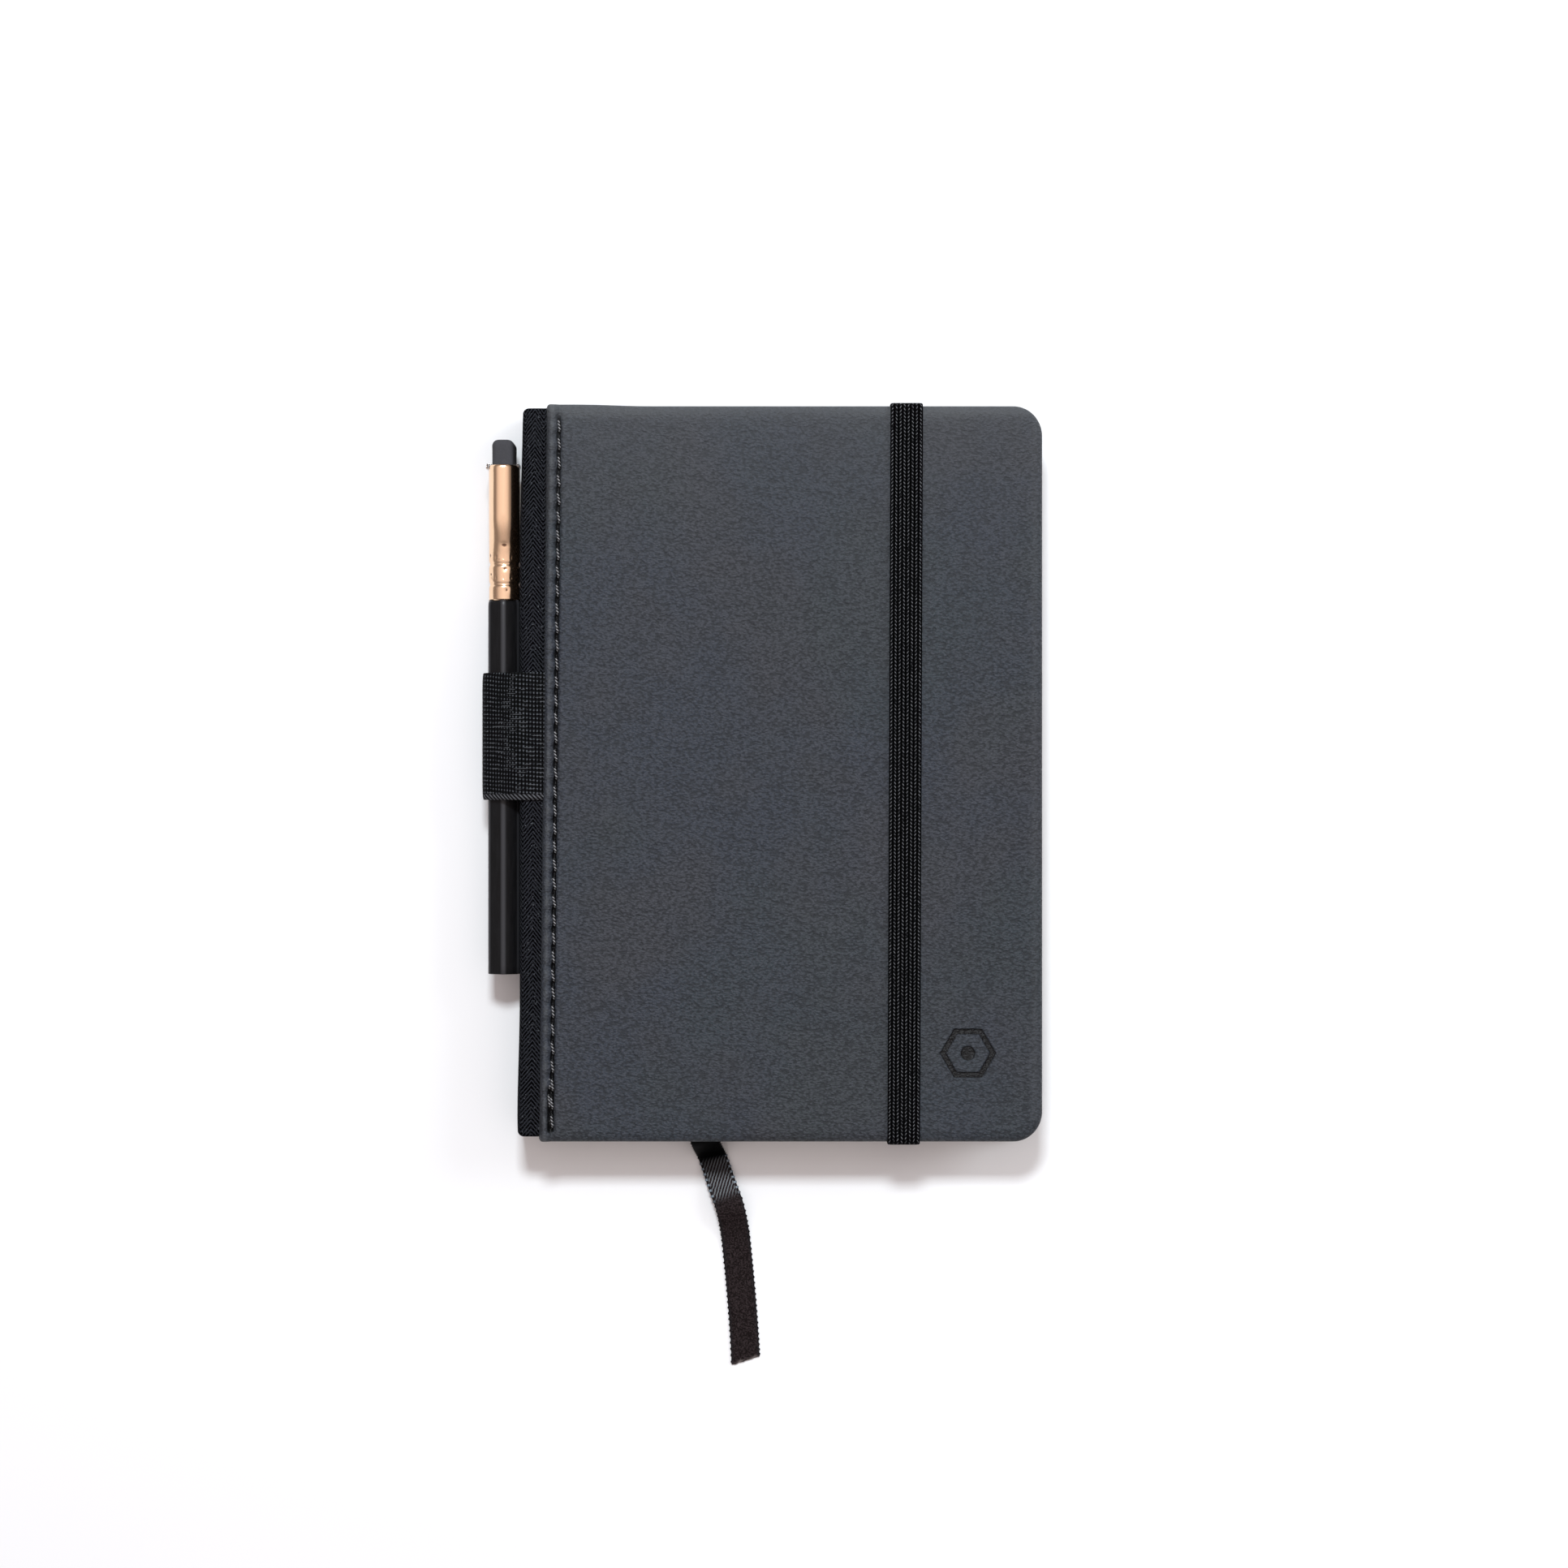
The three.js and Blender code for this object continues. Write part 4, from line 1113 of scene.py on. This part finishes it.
def pencil_loop():
    reach = PENCIL.x - low("pencil_loop").x - 0.45
    top_z = high("pencil_loop").z - 0.45
    bottom_z = low("pencil_loop").z + 0.45
    centre = np.array([PENCIL.x, PENCIL.z])

    def touch(x, z, side):
        away = np.array([x, z]) - centre
        return math.atan2(away[1], away[0]) + side * math.acos(reach / np.linalg.norm(away))

    over, under = (SPINE_FACE - 0.3, top_z), (SPINE_FACE - 0.3, bottom_z)
    start, end = touch(*over, 1), touch(*under, -1) + TURN
    angles = np.linspace(start, end, 60)
    flatten = 1 - 0.06 * np.cos(3 * (angles - math.pi)) ** 2 * (np.cos(angles) < -0.3)
    arc = centre + np.stack([np.cos(angles), np.sin(angles)], axis=1) * (reach * flatten)[:, None]
    lead = rounded_corners([(PANEL_LEFT + 1.4, top_z), over, tuple(arc[0])], [4])
    tail = rounded_corners([tuple(arc[-1]), under, (PANEL_LEFT + 1.0, bottom_z + 0.2)], [3])
    section = evenly(np.vstack([lead[:-1], arc, tail[1:]]), 0.14)
    middle = (LOOP_HEAD + LOOP_TAIL) / 2
    path = np.stack([section[:, 0], np.full(len(section), middle), section[:, 1]], axis=1)
    return strip("pencil_loop_weave", path, (0, -1, 0), LOOP_WIDTH, LOOP_THICK, 133, LOOP_WEBBING,
                 relief=loop_relief)


loop = pencil_loop()
mm(SPINE_FACE - 0.2)
mm(THICK - 0.6)
mm(SPINE_FACE + 2.5)
mm(THICK + 2.1)
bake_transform(loop)
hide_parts("pencil_loop")

# ---- pencil

FLATS = high("pencil_barrel").x - low("pencil_barrel").x


def hexagon_ring(flats, corner, y, per_side=7):
    """A hexagon with one ridge up and rounded ridges, round the pencil's axis at y."""
    points = []
    for k in range(6):
        ridge = math.radians(90 + 60 * k)
        middle = (flats / 2 - corner) / math.cos(math.radians(30))
        for t in np.linspace(-30, 30, per_side):
            angle = ridge + math.radians(t)
            points.append((PENCIL.x + middle * math.cos(ridge) + corner * math.cos(angle), y,
                           PENCIL.z + middle * math.sin(ridge) + corner * math.sin(angle)))
    return points


def round_ring(radius, y, count):
    angles = [math.radians(60) + TURN * k / count for k in range(count)]
    return [(PENCIL.x + radius * math.cos(a), y, PENCIL.z + radius * math.sin(a)) for a in angles]


def barrel():
    """Lacquered cedar, cut square at the tail, where wood and core show."""
    ridge = 1.3
    tail, end = BARREL_TAIL, FERRULE_TAIL + 0.1
    count = 42
    rings = [round_ring(1.2, tail + 2.0, count), round_ring(1.2, tail + 0.05, count),
             hexagon_ring(FLATS - 0.5, ridge, tail), hexagon_ring(FLATS - 0.16, ridge, tail + 0.02),
             hexagon_ring(FLATS, ridge, tail + 0.12)]
    rings += [hexagon_ring(FLATS, ridge, y) for y in np.linspace(tail + 2, end - 1.2, 12)]
    rings += [hexagon_ring(FLATS - 0.1, ridge, end - 0.5), hexagon_ring(FLATS - 0.5, ridge, end),
              round_ring(2.5, end + 0.05, count), round_ring(2.5, end + 9.0, count)]
    faces = ring_faces(len(rings), count)
    wood = [1 if i // count in (0, 1) else 0 for i in range(len(faces) - 2)] + [1, 0]
    # lighter ridges: edge wear, and a painted highlight for the ridge that faces up
    worn_and_lit = np.tile(np.tile([0, 0.6, 1, 1, 1, 0.6, 0], 6), len(rings))
    return make_piece("barrel_lacquered", np.array(rings).reshape(-1, 3), faces, [LACQUER, CEDAR],
                      {"ridge": worn_and_lit}, face_materials=wood)


def flat_round(angle, half_width, half_height, power):
    """A point of a flattened round: an ellipse at power 2, squarer above."""
    c, s = np.cos(angle), np.sin(angle)
    sharp = 2 / power
    return np.sign(c) * np.abs(c) ** sharp * half_width, np.sign(s) * np.abs(s) ** sharp * half_height


def ferrule():
    """Thin sheet metal: round and crimped on the barrel, flared to a flat mouth, dented by the punch."""
    around = 120
    length = FERRULE_MOUTH - FERRULE_TAIL
    crimps = (3.4, 7.6)
    stations = [np.linspace(0, length, 57)] + [c + np.linspace(-1, 1, 17) for c in crimps]
    stations = np.unique(np.concatenate(stations))
    angles = TURN * (np.arange(around) + 0.5) / around
    wall = 0.3
    dents = ((1.50, 11.4, 0.22, 0.45), (1.45, 6.6, 0.16, 0.35), (1.35, 2.2, 0.14, 0.35),
             (4.6, 12.3, 0.16, 0.5), (2.6, 5.4, 0.16, 0.4), (2.7, 9.4, 0.14, 0.5), (5.5, 9.9, 0.16, 0.5))

    def dented(along):
        """Punch marks: angle round the ferrule, place along it, and reach each way."""
        return sum(hill(angles - turn, wide) * hill(along - place, long) for turn, place, wide, long in dents)

    def ring(along, inset):
        flat = float(soft_step(along, 8.6, 17.5))
        groove = sum(0.22 * hill(along - c, 0.42) for c in crimps)
        lip = 0.06 * hill(along, 0.25)
        radius = FERRULE_HALF_WIDTH - groove + lip - inset
        tall = radius + (FERRULE_HALF_HEIGHT - FERRULE_HALF_WIDTH) * flat
        x, z = flat_round(angles, radius, tall, 2 + 0.6 * flat)
        for c in crimps:
            beads = 0.10 * hill(along - c - 1.25, 0.3) * (np.cos(angles * 12) > 0.72)
            x, z = x * (1 - beads / 3), z * (1 - beads / 3)
        x, z = x * (1 - 0.05 * dented(along)), z * (1 - 0.05 * dented(along))
        return np.stack([PENCIL.x + x, np.full(around, FERRULE_TAIL + along), PENCIL.z + z], axis=1)

    mouth_round = [(length - 0.05, 0.04), (length, 0.12), (length, 0.2), (length - 0.05, wall - 0.04)]
    walls = [(a, 0) for a in stations[:-1]] + mouth_round + [(a, wall) for a in stations[-2::-2]]
    points = np.concatenate([ring(a, i) for a, i in walls])
    stained = np.concatenate([np.full(around, hill(a - 8.5, 5.5)) for a, _ in walls])
    return make_piece("ferrule_sheet", points, ring_faces(len(walls), around, closed=True), ROSE_GOLD,
                      {"stained": stained, "dented": np.concatenate([dented(a) for a, _ in walls])})


def clip():
    """A spring strip that grips the eraser, its tips curled over the ferrule's mouth."""
    x = PENCIL.x
    side = 2.66
    base = low("eraser_clip").y + 0.15
    mouth = FERRULE_MOUTH
    corners = [(x - side - 0.95, mouth - 0.55), (x - side - 0.8, mouth + 0.5), (x - side + 0.02, mouth + 0.4),
               (x - side, mouth - 0.6), (x - side, base), (x + side, base), (x + side, mouth - 0.6),
               (x + side - 0.02, mouth + 0.4), (x + side + 0.48, mouth + 0.5), (x + side + 0.5, mouth - 0.25)]
    section = evenly(rounded_corners(corners, [0.22, 0.22, 1.2, 0.8, 0.8, 1.2, 0.22, 0.22]), 0.12)
    path = np.stack([section[:, 0], section[:, 1], np.full(len(section), PENCIL.z)], axis=1)
    return strip("eraser_clip_spring", path, (0, 0, 1), 5.0, 0.26, 25, STEEL)


def eraser():
    """A flat block with rubbed-down, rounded end corners."""
    around, half_width, half_height = 64, 2.3, 5.2
    start, end = low("pencil_eraser").y, high("pencil_eraser").y
    angles = TURN * (np.arange(around) + 0.5) / around
    rings = []
    for along, shrink in [(start, 0.5), (start + 0.15, 0.2), (start + 0.5, 0)] + \
            [(a, 0) for a in np.linspace(start + 2, end - 2.2, 8)] + \
            [(end - 1.3 + 1.3 * math.sin(t), 1.15 * (1 - math.cos(t))) for t in np.linspace(0, 1.5, 9)]:
        x, z = flat_round(angles, half_width - shrink, half_height - shrink, 6)
        wobble = 0.03 * np.sin(angles * 3 + along * 1.7)
        rings.append(np.stack([PENCIL.x + x + wobble, np.full(around, along), PENCIL.z + z], axis=1))
    return make_piece("eraser_block", np.concatenate(rings), ring_faces(len(rings), around), ERASER)


settled(barrel(), "pencil", "black_paint", "pencil_barrel")
settled(ferrule(), "pencil", "brass_ferrule", "pencil_ferrule")
settled(clip(), "eraser", "steel_clip", "eraser_clip")
settled(eraser(), "eraser", "eraser_rubber", "pencil_eraser")

# ---- CAD nodes that stay

KEPT_NODES = {"front_board": GREYBOARD, "back_board": GREYBOARD, "front_filler": CARD, "back_filler": CARD,
              "spine_lining": CARD, "sewing_thread": LINEN, "pencil_core": GRAPHITE}
for node, material in KEPT_NODES.items():
    kept = frame["nodes"][node]
    kept.data.materials.clear()
    kept.data.materials.append(material)

# ---- table

table_mesh = bpy.data.meshes.new("table")
table_mesh.from_pydata([(-4, -4, 0), (4, -4, 0), (4, 4, 0), (-4, 4, 0)], [], [(0, 1, 2, 3)])
table_mesh.materials.append(floor_finish())
table = bpy.data.objects.new("table", table_mesh)
scene.collection.objects.link(table)
